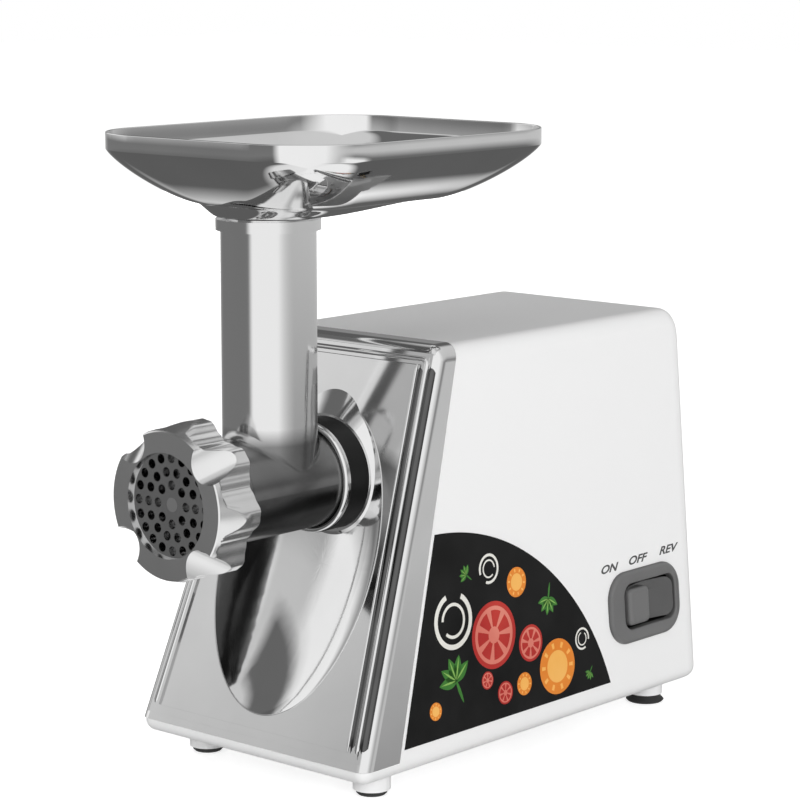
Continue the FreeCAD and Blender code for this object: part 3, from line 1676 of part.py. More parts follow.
def build_print():
    """A thin printed sheet on the side: a round sector cut off at the seam and the base."""
    frame = side_frame(as_size(0.0), size.seat_height)
    stretch = 1 / math.cos(math.radians(side_angle))

    def up(z):
        return (z - size.seat_height) * stretch

    disc = doc.addObject("Part::Cylinder", "print_disc")
    bind(disc, Radius=size.print_radius, Height=size.print_thickness)
    centre = frame.multVec(Vector(-float(size.print_back), float(up(-size.print_drop)), 0))
    disc.Placement = FreeCAD.Placement(centre, frame.Rotation)
    low = size.print_low
    high = size.print_radius
    margin = size.print_margin
    window = slab("print_window", frame, [
        (seam_at(low) + margin, up(low)),
        (rear_reach, up(low)),
        (rear_reach, up(high)),
        (seam_at(high) + margin, up(high)),
    ], as_size(0.0), size.print_thickness)
    piece("side_print", common("side_print", disc, window))


# Grinding head

head_rear = -size.collar_front
spigot_end = head_rear + size.spigot_length
rim_front = head_rear - size.rim_thickness
flare_front = -size.flare_start - size.flare_length
head_front = -size.head_front
plate_seat = head_front + size.plate_seat_depth
tube_y = -size.tube_place


def build_head():
    outer = turned("head_outer", [
        (0.0, spigot_end),
        (size.spigot_radius, spigot_end),
        (size.spigot_radius, head_rear),
        (size.rim_radius, head_rear),
        (size.rim_radius, rim_front),
        (size.barrel_radius, rim_front),
        (size.barrel_radius, -size.flare_start),
        (size.thread_radius, flare_front),
        (size.thread_radius, head_front),
        (0.0, head_front),
    ], z=drive_z)
    tube = rod("head_tube", size.tube_radius, drive_z, size.tube_top, "Z", y=tube_y)
    barrel = fuse("head_casting", outer, tube)
    saddle_low = float(drive_z)
    saddle_high = float(drive_z + size.barrel_radius + size.saddle_round)

    def radius(edge):
        if edge.Curve.TypeId in ("Part::GeomLine", "Part::GeomCircle"):
            return None
        middle = edge.CenterOfMass
        near_tube = abs(middle.y - float(tube_y)) < float(size.tube_radius * 2)
        on_saddle = near_tube and saddle_low < middle.z < saddle_high
        return size.saddle_round if on_saddle else None

    cast = rounded("head_saddle", barrel, radius)
    lip = rod("head_lip", size.tube_lip_radius, size.tube_top - size.tube_lip_height, size.tube_top, "Z",
              y=tube_y)
    inside = turned("head_inside", [
        (0.0, spigot_end - size.spigot_wall),
        (size.barrel_bore, spigot_end - size.spigot_wall),
        (size.barrel_bore, -size.flare_start),
        (size.chamber_radius, flare_front),
        (size.chamber_radius, plate_seat),
        (size.plate_radius + size.plate_gap, plate_seat),
        (size.plate_radius + size.plate_gap, head_front),
        (0.0, head_front),
    ], z=drive_z)
    throat = rod("head_throat", size.tube_bore, drive_z, size.tube_top, "Z", y=tube_y)
    eye = rod("head_eye", size.worm_journal + size.running_gap, spigot_end - size.spigot_wall, spigot_end,
              z=drive_z)
    piece("head_body", cut("head_body", fuse("head_whole", cast, lip), inside, throat, eye))


knife_front = plate_seat + size.plate_gap
knife_back = knife_front + size.knife_thickness
worm_front = knife_back + size.plate_gap
worm_rear = spigot_end - size.spigot_wall - size.plate_gap
plate_front = plate_seat - size.plate_thickness


def build_worm():
    """The feed worm: a tapered core with a helical flight, driven by a hexagon at the rear."""
    tail_end = hex_end - size.hex_gap
    body = new_body("worm")
    sketch = sketch_on(body, "XY_Plane")
    journal_end = spigot_end + size.hex_gap
    outline(sketch, [
        (0.0, knife_back),
        (size.worm_core_front, worm_front),
        (size.worm_core_rear, worm_rear),
        (size.worm_journal, worm_rear),
        (size.worm_journal, journal_end),
        (0.0, journal_end),
    ])
    core = body.newObject("PartDesign::Revolution", "worm_core")
    core.Profile = sketch
    core.ReferenceAxis = (sketch, ["V_Axis"])
    core.Angle = 360
    flight = sketch_on(body, "XY_Plane")
    start = worm_front + size.flight_tip
    lean = (size.flight_root - size.flight_tip) / 2
    inside = size.worm_core_front - size.flight_tip
    outline(flight, [
        (inside, start),
        (size.worm_radius, start + lean),
        (size.worm_radius, start + lean + size.flight_tip),
        (inside, start + size.flight_root),
    ])
    doc.recompute()
    helix = body.newObject("PartDesign::AdditiveHelix", "worm_flight")
    helix.Profile = flight
    helix.ReferenceAxis = (flight, ["V_Axis"])
    helix.Mode = 1
    bind(helix, Pitch=size.worm_pitch, Turns=size.worm_turns)
    place(body, z=drive_z)
    tail = plate("worm_tail", hexagon(size.hex_across), spigot_end, tail_end)
    place(tail, y=spigot_end, z=drive_z)
    half = size.knife_square / 2
    square = box("worm_square", (-half, half), (knife_front, worm_front + size.flight_tip),
                 (drive_z - half, drive_z + half))
    nose = rod("worm_nose", size.plate_eye - size.running_gap, plate_front, knife_front, z=drive_z)
    piece("feed_worm", fuse("feed_worm", body, tail, square, nose))


def build_knife():
    """A four armed knife with a square eye, flat against the plate."""
    hub = rod("knife_hub", size.knife_hub, knife_front, knife_back, z=drive_z)
    half = size.blade_width / 2
    arms = [
        plate("knife_arm_level", [
            (-size.knife_radius, -half), (size.knife_radius, -half), (size.knife_radius, half),
            (-size.knife_radius, half),
        ], knife_front, knife_back),
        plate("knife_arm_upright", [
            (-half, -size.knife_radius), (half, -size.knife_radius), (half, size.knife_radius),
            (-half, size.knife_radius),
        ], knife_front, knife_back),
    ]
    for arm in arms:
        place(arm, y=knife_front, z=drive_z)
    reach = size.knife_square / 2 + size.square_gap
    eye = box("knife_eye", (-reach, reach), (knife_front, knife_back), (drive_z - reach, drive_z + reach))
    disc = rod("knife_disc", size.knife_radius, knife_front, knife_back, z=drive_z)
    cross = common("knife_cross", fuse("knife_arms", hub, *arms), disc)
    piece("cross_knife", cut("cross_knife", cross, eye))


def build_plate():
    """The perforated plate: rings of holes about the eye."""
    disc = rod("plate_disc", size.plate_radius, plate_front, plate_seat, z=drive_z)
    holes = [rod("plate_eye_hole", size.plate_eye, plate_front, plate_seat, z=drive_z)]
    for ring, count in (
        (size.hole_ring_one, size.holes_one),
        (size.hole_ring_two, size.holes_two),
        (size.hole_ring_three, size.holes_three),
    ):
        for _, angle in around(count):
            turn = math.radians(angle)
            holes.append(rod(
                "plate_hole", size.plate_hole, plate_front, plate_seat,
                x=ring * math.cos(turn), z=drive_z + ring * math.sin(turn),
            ))
    piece("cutting_plate", cut("cutting_plate", disc, *holes))


def nut_cutters(name, count, first, radius, floor, rise):
    """Cylinders round the nut whose floor is at a radius on its front, and rises to the rear."""
    front = -size.nut_front
    tilt = FreeCAD.Rotation(Z_AXIS, -rise)
    slope = math.tan(math.radians(rise))
    reach = float(floor) + float(radius) / math.cos(math.radians(rise))
    away = float(size.nut_length)
    for number, angle in around(count):
        turn = FreeCAD.Rotation(Y_AXIS, -angle - first)
        start = turn.multVec(Vector(reach - away * slope, float(front) - away, 0))
        cutter = doc.addObject("Part::Cylinder", f"{name}_{number}")
        bind(cutter, Radius=radius, Height=size.nut_length * 3)
        spot = Vector(0, 0, float(drive_z)) + start
        cutter.Placement = FreeCAD.Placement(spot, turn * tilt * ALONG["Y"])
        yield cutter


def build_nut():
    """The ring nut: a flared, wavy ring with finger flutes that run out towards the rear."""
    front = -size.nut_front
    rear = front + size.nut_length
    lip = plate_front - size.plate_gap
    bore = size.thread_radius + size.thread_gap
    step = head_front - size.plate_gap
    pocket = size.plate_radius + size.plate_gap * 2
    ring = turned("nut_ring", [
        (size.nut_mouth, front),
        (size.nut_front_radius, front),
        (size.nut_rear_radius, rear - size.nut_band),
        (size.nut_rear_radius, rear),
        (bore, rear),
        (bore, step),
        (pocket, step),
        (pocket, lip),
        (size.nut_mouth, lip),
    ], z=drive_z)
    first = float(size.flute_turn)
    floor = size.nut_front_radius - size.flute_depth
    flutes = nut_cutters("nut_flute", size.flute_count, first, size.flute_radius, floor, float(size.flute_rise))
    half_turn = 180 / float(size.wave_count)
    floor = size.nut_rear_radius - size.wave_depth
    waves = nut_cutters("nut_wave", size.wave_count, first + half_turn, size.wave_radius, floor, 0.0)
    piece("ring_nut", cut("ring_nut", ring, *flutes, *waves))


# Tray


tray_seat = size.tube_top + size.tray_floor_gap
tray_rim = tray_seat + size.tray_rise
tray_band_foot = tray_rim - size.tray_band
tray_front_slope = size.tray_front + tube_y - size.tray_throat - size.throat_margin


def tray_wire(share, drawn_in):
    """One level of the tray's wall: share is 0 at the foot of its rim band, 1 at its floor."""
    turn = math.pi / 2 * share
    power = 2 / float(size.tray_bulge_ratio)
    fall = math.sin(turn) ** power
    inward = 1 - math.cos(turn) ** power
    slope = float(size.tray_slope) * inward + drawn_in
    half = float(size.tray_half_width) - slope
    front = float(tray_front_slope) * inward + drawn_in - float(size.tray_front)
    rear = float(size.tray_rear) - slope
    widened = float(size.tray_floor_round - size.tray_round) * inward
    radius = float(size.tray_round) + widened - drawn_in
    z = float(tray_band_foot) - (float(size.tray_depth) - drawn_in) * fall
    return round_wire(half, front, rear, radius, z)


def throat_wire(drawn_in):
    """The almost round edge where the tray's floor meets its neck."""
    throat = float(size.tray_throat) - drawn_in
    middle = float(tube_y)
    corner = throat * float(size.throat_corner_ratio)
    return round_wire(throat, middle - throat, middle + throat, corner, float(tray_seat) + drawn_in)


def round_wire(half, front, rear, radius, z):
    corners = [
        (half - radius, front + radius, -90),
        (half - radius, rear - radius, 0),
        (radius - half, rear - radius, 90),
        (radius - half, front + radius, 180),
    ]
    edges = []
    for x, y, angle in corners:
        circle = Part.Circle(Vector(x, y, z), Z_AXIS, radius)
        first = math.radians(angle)
        edges.append(Part.ArcOfCircle(circle, first, first + math.pi / 2).toShape())
    joined = []
    for edge, after in zip(edges, edges[1:] + edges[:1]):
        joined.append(edge)
        start = edge.valueAt(edge.LastParameter)
        end = after.valueAt(after.FirstParameter)
        joined.append(Part.LineSegment(start, end).toShape())
    return Part.Wire(joined)


def tray_form(name, drawn_in):
    """The tray without its neck, as a solid: the rim band, the bulging wall and the sloping floor."""
    steps = round(float(size.tray_steps))
    levels = [tray_wire(step / steps, drawn_in) for step in range(steps + 1)]
    wall = Part.makeLoft(levels, True, False)
    floor = Part.makeLoft([levels[-1], throat_wire(drawn_in)], True, True)
    band = Part.Face(levels[0]).extrude(Vector(0, 0, float(size.tray_band)))
    return fuse(name, made(f"{name}_wall", wall), made(f"{name}_floor", floor), made(f"{name}_band", band))


def build_tray():
    low = size.tube_top - size.tray_neck_length
    neck = rod("tray_neck", size.tray_neck, low, tray_seat + size.tray_wall, "Z", y=tube_y)
    bore = rod("tray_neck_bore", size.tray_neck - size.tray_neck_wall, low, tray_rim, "Z", y=tube_y)
    skin = cut("tray_skin", tray_form("tray_outer", 0.0), tray_form("tray_inner", float(size.tray_wall)))
    piece("hopper_tray", cut("hopper_tray", fuse("tray_body", skin, neck), bore))


build_casing()
build_cover()
build_base()
build_feet()
build_switch()
build_gland()
build_print()
build_gear_case()
build_case_back()
build_collar()
build_gears()
build_bushes()
build_output_shaft()
build_stator()
build_field_coils()
build_rotor()
build_fan()
build_bearings()
build_bracket()
build_brushes()
build_brush_springs()
build_leads()
build_cushion()
build_head()
build_worm()
build_knife()
build_plate()
build_nut()
build_tray()

doc.recompute()
failed = [item.Name for item in doc.Objects if {"Invalid", "Error"} & set(item.State)]
for label, thing in PIECES.items():
    if thing.Shape.isNull() or not thing.Shape.isValid() or not thing.Shape.Solids:
        failed.append(label)
if failed:
    raise RuntimeError("could not be built: " + ", ".join(failed))
os.makedirs("parts", exist_ok=True)
for label, thing in PIECES.items():
    thing.Shape.exportStep(f"parts/{label}.step")
    print(label, len(thing.Shape.Solids), round(thing.Shape.Volume))
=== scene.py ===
import math
import random

import bmesh
import bpy
from mathutils import Matrix, Vector


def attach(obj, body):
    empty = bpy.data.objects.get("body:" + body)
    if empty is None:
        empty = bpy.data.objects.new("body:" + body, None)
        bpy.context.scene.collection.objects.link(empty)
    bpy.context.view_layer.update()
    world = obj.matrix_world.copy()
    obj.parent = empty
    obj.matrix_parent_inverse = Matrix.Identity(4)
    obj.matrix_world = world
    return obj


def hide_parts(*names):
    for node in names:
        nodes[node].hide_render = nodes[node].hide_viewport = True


# An electric meat grinder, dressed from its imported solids.
# Frame: +Z up, the mince leaves towards -Y, the switch is on the +X side, floor at z = 0, in metres.

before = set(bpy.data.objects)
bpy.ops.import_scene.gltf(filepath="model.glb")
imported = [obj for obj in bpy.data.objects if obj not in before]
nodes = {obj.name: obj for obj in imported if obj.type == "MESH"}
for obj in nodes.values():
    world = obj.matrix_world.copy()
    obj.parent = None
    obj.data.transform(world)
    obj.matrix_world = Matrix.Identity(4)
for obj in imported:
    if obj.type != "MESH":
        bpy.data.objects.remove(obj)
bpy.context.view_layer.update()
scene = bpy.context.scene
MM = 0.001

# Housing: half widths, heights, the lean of its side and the length of its slanted front
SEAT = 22 * MM
ROOF = 240 * MM
BASE_HALF = 85.5 * MM
ROOF_HALF = 67.5 * MM
FOOT_REACH = 124 * MM
BROW_REACH = 41 * MM
SIDE_LEAN = (BASE_HALF - ROOF_HALF) / (ROOF - SEAT)
FRONT_SLOPE = math.hypot(ROOF - SEAT, FOOT_REACH - BROW_REACH)
AXIS_Z = 165 * MM
TUBE_Y = -105.2 * MM


# Meshes


def new_object(name, mesh, body, material, replaces=()):
    """A piece of the grinder that rides on a body and takes its finish from a slot."""
    thing = bpy.data.objects.new(name, mesh)
    scene.collection.objects.link(thing)
    thing.data.materials.append(material)
    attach(thing, body)
    if replaces:
        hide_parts(*replaces)
    return thing


def mesh_of(name, work, crease=None):
    """A mesh with smooth faces from bmesh work, with edges sharper than crease left hard."""
    bmesh.ops.recalc_face_normals(work, faces=work.faces)
    mesh = bpy.data.meshes.new(name)
    work.to_mesh(mesh)
    work.free()
    mesh.shade_smooth()
    if crease is not None:
        mesh.set_sharp_from_angle(angle=math.radians(crease))
    return mesh


def skin(rings, capped=False):
    """Quads between rings of equally many points, then caps or quads from the last ring to the first."""
    work = bmesh.new()
    loops = [[work.verts.new(point) for point in ring] for ring in rings]
    onward = loops[1:] if capped else loops[1:] + loops[:1]
    for ring, after in zip(loops, onward):
        for number, vertex in enumerate(ring):
            following = (number + 1) % len(ring)
            work.faces.new((vertex, ring[following], after[following], after[number]))
    if capped:
        work.faces.new(loops[0])
        work.faces.new(loops[-1])
    return work


# Materials


class Paint:
    """A procedural material: solid textures steer its colour, roughness and bumps."""

    def __init__(self, name, metallic=0.0):
        self.material = bpy.data.materials.new(name)
        self.material.use_nodes = True
        self.tree = self.material.node_tree
        self.shader = self.tree.nodes["Principled BSDF"]
        self.shader.inputs["Metallic"].default_value = metallic
        self.place = self.tree.nodes.new("ShaderNodeTexCoord")

    def node(self, kind, **values):
        made = self.tree.nodes.new("ShaderNode" + kind)
        for socket, value in values.items():
            made.inputs[socket.replace("_", " ")].default_value = value
        return made

    def link(self, out, into):
        self.tree.links.new(out, into)

    def mapped(self, stretch):
        mapping = self.node("Mapping", Scale=stretch)
        self.link(self.place.outputs["Object"], mapping.inputs["Vector"])
        return mapping.outputs["Vector"]

    def noise(self, scale, detail=3.0, stretch=(1, 1, 1)):
        """Noise with about scale features in a metre."""
        texture = self.node("TexNoise", Scale=scale, Detail=detail)
        self.link(self.mapped(stretch), texture.inputs["Vector"])
        return texture.outputs["Fac"]

    def bands(self, scale, direction, distortion=0.0):
        """Even bands across a direction, about scale of them in a metre."""
        texture = self.node("TexWave", Scale=scale / 3.2, Distortion=distortion)
        texture.bands_direction = direction
        self.link(self.place.outputs["Object"], texture.inputs["Vector"])
        return texture.outputs["Fac"]

    def colour(self, texture, dark, light):
        ramp = self.tree.nodes.new("ShaderNodeValToRGB")
        ramp.color_ramp.elements[0].position = 0.3
        ramp.color_ramp.elements[0].color = (*dark, 1)
        ramp.color_ramp.elements[1].position = 0.7
        ramp.color_ramp.elements[1].color = (*light, 1)
        self.link(texture, ramp.inputs["Fac"])
        self.link(ramp.outputs["Color"], self.shader.inputs["Base Color"])

    def roughness(self, texture, low, high):
        spread = self.node("MapRange", From_Min=0.3, From_Max=0.7, To_Min=low, To_Max=high)
        self.link(texture, spread.inputs["Value"])
        self.link(spread.outputs["Result"], self.shader.inputs["Roughness"])

    def bump(self, texture, height, strength=1.0):
        bump = self.node("Bump", Strength=strength, Distance=height)
        self.link(texture, bump.inputs["Height"])
        self.link(bump.outputs["Normal"], self.shader.inputs["Normal"])


def grey(level):
    return (level, level, level)


def moulded(name, dark, light, rough, grain=900.0, height=0.02 * MM, mottle=30.0, gloss=0.5):
    """Moulded plastic or rubber: slight mottling, a fine grain and uneven gloss."""
    paint = Paint(name)
    paint.shader.inputs["Specular IOR Level"].default_value = gloss
    paint.colour(paint.noise(mottle), dark, light)
    paint.roughness(paint.noise(mottle * 4, detail=1.0), *rough)
    paint.bump(paint.noise(grain, detail=2.0), height)
    return paint.material


def metal(name, dark, light, rough, stretch=(1, 1, 1), grain=400.0, height=0.004 * MM):
    """Metal with a grain that can be drawn out along a direction, as brushing or turning leaves it."""
    paint = Paint(name, metallic=1.0)
    paint.colour(paint.noise(25), dark, light)
    paint.roughness(paint.noise(grain / 4, stretch=stretch), *rough)
    paint.bump(paint.noise(grain, stretch=stretch), height)
    return paint.material


def layered(name, dark, light, rough, pitch, direction, height, metallic=1.0):
    """Stacked sheet or wound wire: fine bands across a direction."""
    paint = Paint(name, metallic=metallic)
    lines = paint.bands(1 / pitch, direction)
    paint.colour(paint.noise(60), dark, light)
    paint.roughness(paint.noise(200), *rough)
    paint.bump(lines, height)
    return paint.material


# Cast head: where its finish changes, where painted shade darkens its barrel below, the levels of its
# brightness, and the rim at its rear
BARREL_PAINTED_SHADE = 0.2
SATIN = 0.33
POLISHED = 0.72
HEAD_MOTTLE = 0.12
BARREL_LOW = 143 * MM
BARREL_TOP = 180 * MM
TUBE_FOOT = 202 * MM
RIM_FRONT = -76.6 * MM
RIM_BACK = -76.1 * MM
RIM_RADIUS = 29.6 * MM
RIM_ROUND = 1.7 * MM
RIM_Y = -76 * MM
RIM_POINTS = 120


def head_finish_and_painted_shade():
    """Cast alloy: the barrel is satin with painted shade that makes it darker below, the feed tube and the
    rim at its rear polished.
    """
    paint = Paint("head_cast_painted_shade", metallic=1.0)
    parts = paint.node("SeparateXYZ")
    paint.link(paint.place.outputs["Object"], parts.inputs[0])
    spans = (
        # painted shade: below the axis the barrel's colour falls to a darker level
        ("Z", BARREL_LOW, AXIS_Z, BARREL_PAINTED_SHADE, SATIN),
        ("Z", BARREL_TOP, TUBE_FOOT, 0.0, POLISHED),
        ("Y", RIM_FRONT, RIM_BACK, 0.0, POLISHED),
    )
    bright = None
    for axis, start, end, low, high in spans:
        span = paint.node("MapRange", From_Min=start, From_Max=end, To_Min=low, To_Max=high)
        paint.link(parts.outputs[axis], span.inputs["Value"])
        level = span.outputs["Result"]
        if bright is not None:
            larger = paint.node("Math")
            larger.operation = "MAXIMUM"
            paint.link(bright, larger.inputs[0])
            paint.link(level, larger.inputs[1])
            level = larger.outputs[0]
        bright = level
    mottle = paint.node("Math")
    mottle.operation = "MULTIPLY_ADD"
    mottle.inputs[1].default_value = HEAD_MOTTLE
    paint.link(paint.noise(25), mottle.inputs[0])
    paint.link(bright, mottle.inputs[2])
    paint.colour(mottle.outputs[0], grey(0.06), grey(0.8))
    paint.roughness(mottle.outputs[0], 0.26, 0.12)
    paint.bump(paint.noise(150), 0.004 * MM)
    return paint.material


ALONG_Y = (1, 0.05, 1)
finishes = {
    "white_plastic": moulded(
        "white_plastic_gloss", grey(0.852), grey(0.86), (0.28, 0.29), 70.0, 0.0015 * MM, mottle=4.0,
    ),
    "plated_cover": metal("plated_cover_bright", grey(0.78), grey(0.83), (0.05, 0.1), grain=120.0),
    "black_plastic": moulded("black_plastic_satin", grey(0.006), grey(0.01), (0.34, 0.44), gloss=0.22),
    "grey_plastic": moulded("grey_plastic_satin", grey(0.135), grey(0.16), (0.34, 0.46)),
    "natural_plastic": moulded("natural_plastic_matt", (0.7, 0.67, 0.58), (0.76, 0.73, 0.64), (0.4, 0.5)),
    "black_rubber": moulded("black_rubber_matt", grey(0.018), grey(0.03), (0.6, 0.75), height=0.05 * MM),
    "screw_steel": metal("screw_steel_zinc", grey(0.55), grey(0.65), (0.25, 0.38)),
    "printed_film": moulded("printed_film_ground", grey(0.004), grey(0.012), (0.3, 0.4), gloss=0.15),
    "gear_case_alloy": metal("gear_case_cast", grey(0.45), grey(0.55), (0.4, 0.55), height=0.05 * MM),
    "gear_steel": metal("gear_steel_cut", grey(0.4), grey(0.5), (0.28, 0.4), ALONG_Y),
    "sintered_bronze": metal("sintered_bronze_bush", (0.42, 0.26, 0.12), (0.55, 0.36, 0.18), (0.35, 0.5)),
    "shaft_steel": metal("shaft_steel_ground", grey(0.55), grey(0.65), (0.15, 0.25), (1, 8, 1)),
    "core_steel": layered("core_steel_sheets", grey(0.2), grey(0.28), (0.4, 0.5), 0.5 * MM, "Y", 0.05 * MM),
    "copper": layered(
        "copper_wire", (0.55, 0.2, 0.08), (0.7, 0.3, 0.14), (0.25, 0.35), 0.6 * MM, "Y", 0.1 * MM,
    ),
    "brass": metal("brass_strip", (0.6, 0.42, 0.16), (0.72, 0.52, 0.22), (0.25, 0.35)),
    "carbon": moulded("carbon_block", grey(0.02), grey(0.05), (0.4, 0.6)),
    "polished_alloy": metal("polished_alloy_cast", grey(0.74), grey(0.82), (0.1, 0.17), grain=150.0),
    "tool_steel": metal("tool_steel_ground", grey(0.5), grey(0.6), (0.18, 0.28), (6, 1, 0.3)),
    "stainless_mirror": metal("stainless_mirror_bright", grey(0.8), grey(0.84), (0.03, 0.07), grain=90.0),
}
for node in nodes.values():
    for holder in node.material_slots:
        holder.material = finishes[holder.material.name]
nodes["head_body"].material_slots[0].material = head_finish_and_painted_shade()


# Tray: rim band, bulging wall, sloping floor and neck, drawn as rings of points

TRAY_HALF = 89.5 * MM
TRAY_FRONT = -165.7 * MM
TRAY_REAR = 46.9 * MM
TRAY_RIM = 356.4 * MM
TRAY_BAND = 9 * MM
TRAY_ROUND = 45 * MM
TRAY_WALL = 1 * MM
TRAY_SLOPE = 39 * MM
TRAY_FRONT_SLOPE = 31.5 * MM
TRAY_DEPTH = 28.5 * MM
TRAY_BULGE = 1.26
TRAY_FLOOR_ROUND = 38 * MM
THROAT = 27 * MM
THROAT_Z = 312 * MM
NECK = 23.3 * MM
NECK_BORE = 22.1 * MM
NECK_FOOT = 287 * MM
CORNER_STEPS = 20
SIDE_STEPS = 16
WALL_STEPS = 28
FLOOR_STEPS = 14
ROLL_STEPS = 8


def round_ring(half, front, rear, radius, z):
    """Points round a rectangle with round corners, equally many for every size."""
    places = ((half, front, -90), (half, rear, 0), (-half, rear, 90), (-half, front, 180))
    arcs = []
    for x, y, start in places:
        inward_x = -radius if x > 0 else radius
        inward_y = radius if y == front else -radius
        centre = Vector((x + inward_x, y + inward_y, z))
        angles = [math.radians(start + 90 * step / CORNER_STEPS) for step in range(CORNER_STEPS + 1)]
        arcs.append([centre + Vector((math.cos(a), math.sin(a), 0)) * radius for a in angles])
    points = []
    for arc, after in zip(arcs, arcs[1:] + arcs[:1]):
        points += arc
        points += [arc[-1].lerp(after[0], step / SIDE_STEPS) for step in range(1, SIDE_STEPS)]
    return points


def tray_level(share, drawn_in, z=None):
    """One level of the wall: share is 0 at the foot of the rim band, 1 at the floor."""
    turn = math.pi / 2 * share
    power = 2 / TRAY_BULGE
    inward = 1 - math.cos(turn) ** power
    slope = TRAY_SLOPE * inward + drawn_in
    radius = TRAY_ROUND + (TRAY_FLOOR_ROUND - TRAY_ROUND) * inward - drawn_in
    front = TRAY_FRONT + TRAY_FRONT_SLOPE * inward + drawn_in
    if z is None:
        z = TRAY_RIM - TRAY_BAND - (TRAY_DEPTH - drawn_in) * math.sin(turn) ** power
    return TRAY_HALF - slope, front, TRAY_REAR - slope, radius, z


def floor_level(share, drawn_in):
    """One level between the floor's edge, at share 0, and the throat, at share 1."""
    edge = tray_level(1, drawn_in)
    throat = THROAT - drawn_in
    rim = (throat, TUBE_Y - throat, TUBE_Y + throat, throat, THROAT_Z + drawn_in)
    fall = (1 - math.cos(math.pi * share)) / 2
    level = [a + (b - a) * share for a, b in zip(edge, rim)]
    level[-1] = edge[-1] + (rim[-1] - edge[-1]) * fall
    return level


def neck_level(radius, z):
    return radius, TUBE_Y - radius, TUBE_Y + radius, radius, z


def tray_levels():
    """The tray's skin, down its outside to the neck's foot and up its inside."""
    out = [tray_level(step / WALL_STEPS, 0) for step in range(WALL_STEPS + 1)]
    out += [floor_level(step / FLOOR_STEPS, 0) for step in range(1, FLOOR_STEPS + 1)]
    out += [neck_level(NECK, THROAT_Z), neck_level(NECK, NECK_FOOT)]
    back = [neck_level(NECK_BORE, NECK_FOOT), neck_level(NECK_BORE, THROAT_Z + TRAY_WALL)]
    back += [floor_level(step / FLOOR_STEPS, TRAY_WALL) for step in range(FLOOR_STEPS, 0, -1)]
    back += [tray_level(step / WALL_STEPS, TRAY_WALL) for step in range(WALL_STEPS, -1, -1)]
    roll = TRAY_WALL / 2
    for step in range(ROLL_STEPS + 1):
        angle = math.pi * step / ROLL_STEPS
        drawn_in = roll + roll * math.cos(angle)
        back.append(tray_level(0, drawn_in, TRAY_RIM - roll + roll * math.sin(angle)))
    return out + back


def build_tray():
    work = skin([round_ring(*level) for level in tray_levels()])
    new_object(
        "tray_shell", mesh_of("tray_shell", work, crease=40), "tray",
        finishes["stainless_mirror"], ["hopper_tray"],
    )


# Ring nut: a lobed, ridged ring with four flutes cut through its front

NUT_FRONT = -185 * MM
NUT_REAR = -157 * MM
NUT_FRONT_RADIUS = 40 * MM
NUT_REAR_RADIUS = 44 * MM
NUT_FLARE = 0.25
NUT_MOUTH = 28.5 * MM
NUT_STEP = 31.6 * MM
NUT_BORE = 33.95 * MM
NUT_LIP = -180.3 * MM
NUT_LEDGE = -178.2 * MM
NUT_CHAMFER = 0.6 * MM
FLUTES = 4
FLUTE_START = math.radians(40)
FLUTE_RADIUS = 12 * MM
FLUTE_FLOOR = 29.2 * MM
FLUTE_RISE = math.radians(37)
LOBES = 8
LOBE_DEPTH = 6 * MM
LOBE_FADE = 6 * MM
RIDGES = 32
RIDGE_HEIGHT = 0.35 * MM
RIDGE_FADE = 1.6 * MM
NUT_POINTS = RIDGES * 24
NUT_ROWS = 40
CUTTER_POINTS = 160
CUTTER_LENGTH = 76 * MM
CUTTER_LEAD = 16 * MM


def eased(share):
    """A share between 0 and 1 with soft ends."""
    share = min(max(share, 0.0), 1.0)
    return share * share * (3 - 2 * share)


def nut_radius(angle, y, trim=0.0):
    """The nut's outer radius: a flaring front that runs out into a lobed rear with soft ridges."""
    front = NUT_FRONT_RADIUS + (y - NUT_FRONT) * NUT_FLARE
    lobe = LOBE_DEPTH * (1 - math.cos(LOBES * (angle - FLUTE_START))) / 2
    rear = NUT_REAR_RADIUS - lobe * eased((y - NUT_FRONT) / LOBE_FADE)
    ridge = RIDGE_HEIGHT * (1 - math.cos(RIDGES * angle)) * eased((front - rear) / RIDGE_FADE)
    return min(front, rear - ridge) - trim


def nut_ring(y, radius=None, trim=0.0):
    points = []
    for number in range(NUT_POINTS):
        angle = 2 * math.pi * number / NUT_POINTS
        reach = nut_radius(angle, y, trim) if radius is None else radius
        points.append(Vector((reach * math.cos(angle), y, AXIS_Z + reach * math.sin(angle))))
    return points


def nut_blank():
    start = NUT_REAR - NUT_CHAMFER
    end = NUT_FRONT + NUT_CHAMFER
    rings = [nut_ring(NUT_REAR, trim=NUT_CHAMFER)]
    rings += [nut_ring(start + (end - start) * row / NUT_ROWS) for row in range(NUT_ROWS + 1)]
    rings.append(nut_ring(NUT_FRONT, trim=NUT_CHAMFER))
    bore = (
        (NUT_FRONT, NUT_MOUTH), (NUT_LIP, NUT_MOUTH), (NUT_LIP, NUT_STEP), (NUT_LEDGE, NUT_STEP),
        (NUT_LEDGE, NUT_BORE), (NUT_REAR, NUT_BORE),
    )
    rings += [nut_ring(y, radius) for y, radius in bore]
    return mesh_of("nut_ring", skin(rings))


def flute_cutters():
    """Leaning rods whose lower sides are the flutes' floors."""
    work = bmesh.new()
    for number in range(FLUTES):
        angle = FLUTE_START + 2 * math.pi * number / FLUTES
        outward = Vector((math.cos(angle), 0, math.sin(angle)))
        along = Vector((0, math.cos(FLUTE_RISE), 0)) + outward * math.sin(FLUTE_RISE)
        across = outward.cross(Vector((0, 1, 0)))
        start = Vector((0, NUT_FRONT, AXIS_Z)) + outward * (FLUTE_FLOOR + FLUTE_RADIUS / math.cos(FLUTE_RISE))
        centre = start + along * (CUTTER_LENGTH / 2 - CUTTER_LEAD)
        turn = Matrix((across, along.cross(across), along)).transposed().to_4x4()
        bmesh.ops.create_cone(
            work, cap_ends=True, segments=CUTTER_POINTS, radius1=FLUTE_RADIUS, radius2=FLUTE_RADIUS,
            depth=CUTTER_LENGTH, matrix=Matrix.Translation(centre) @ turn,
        )
    return mesh_of("flute_cutters", work)


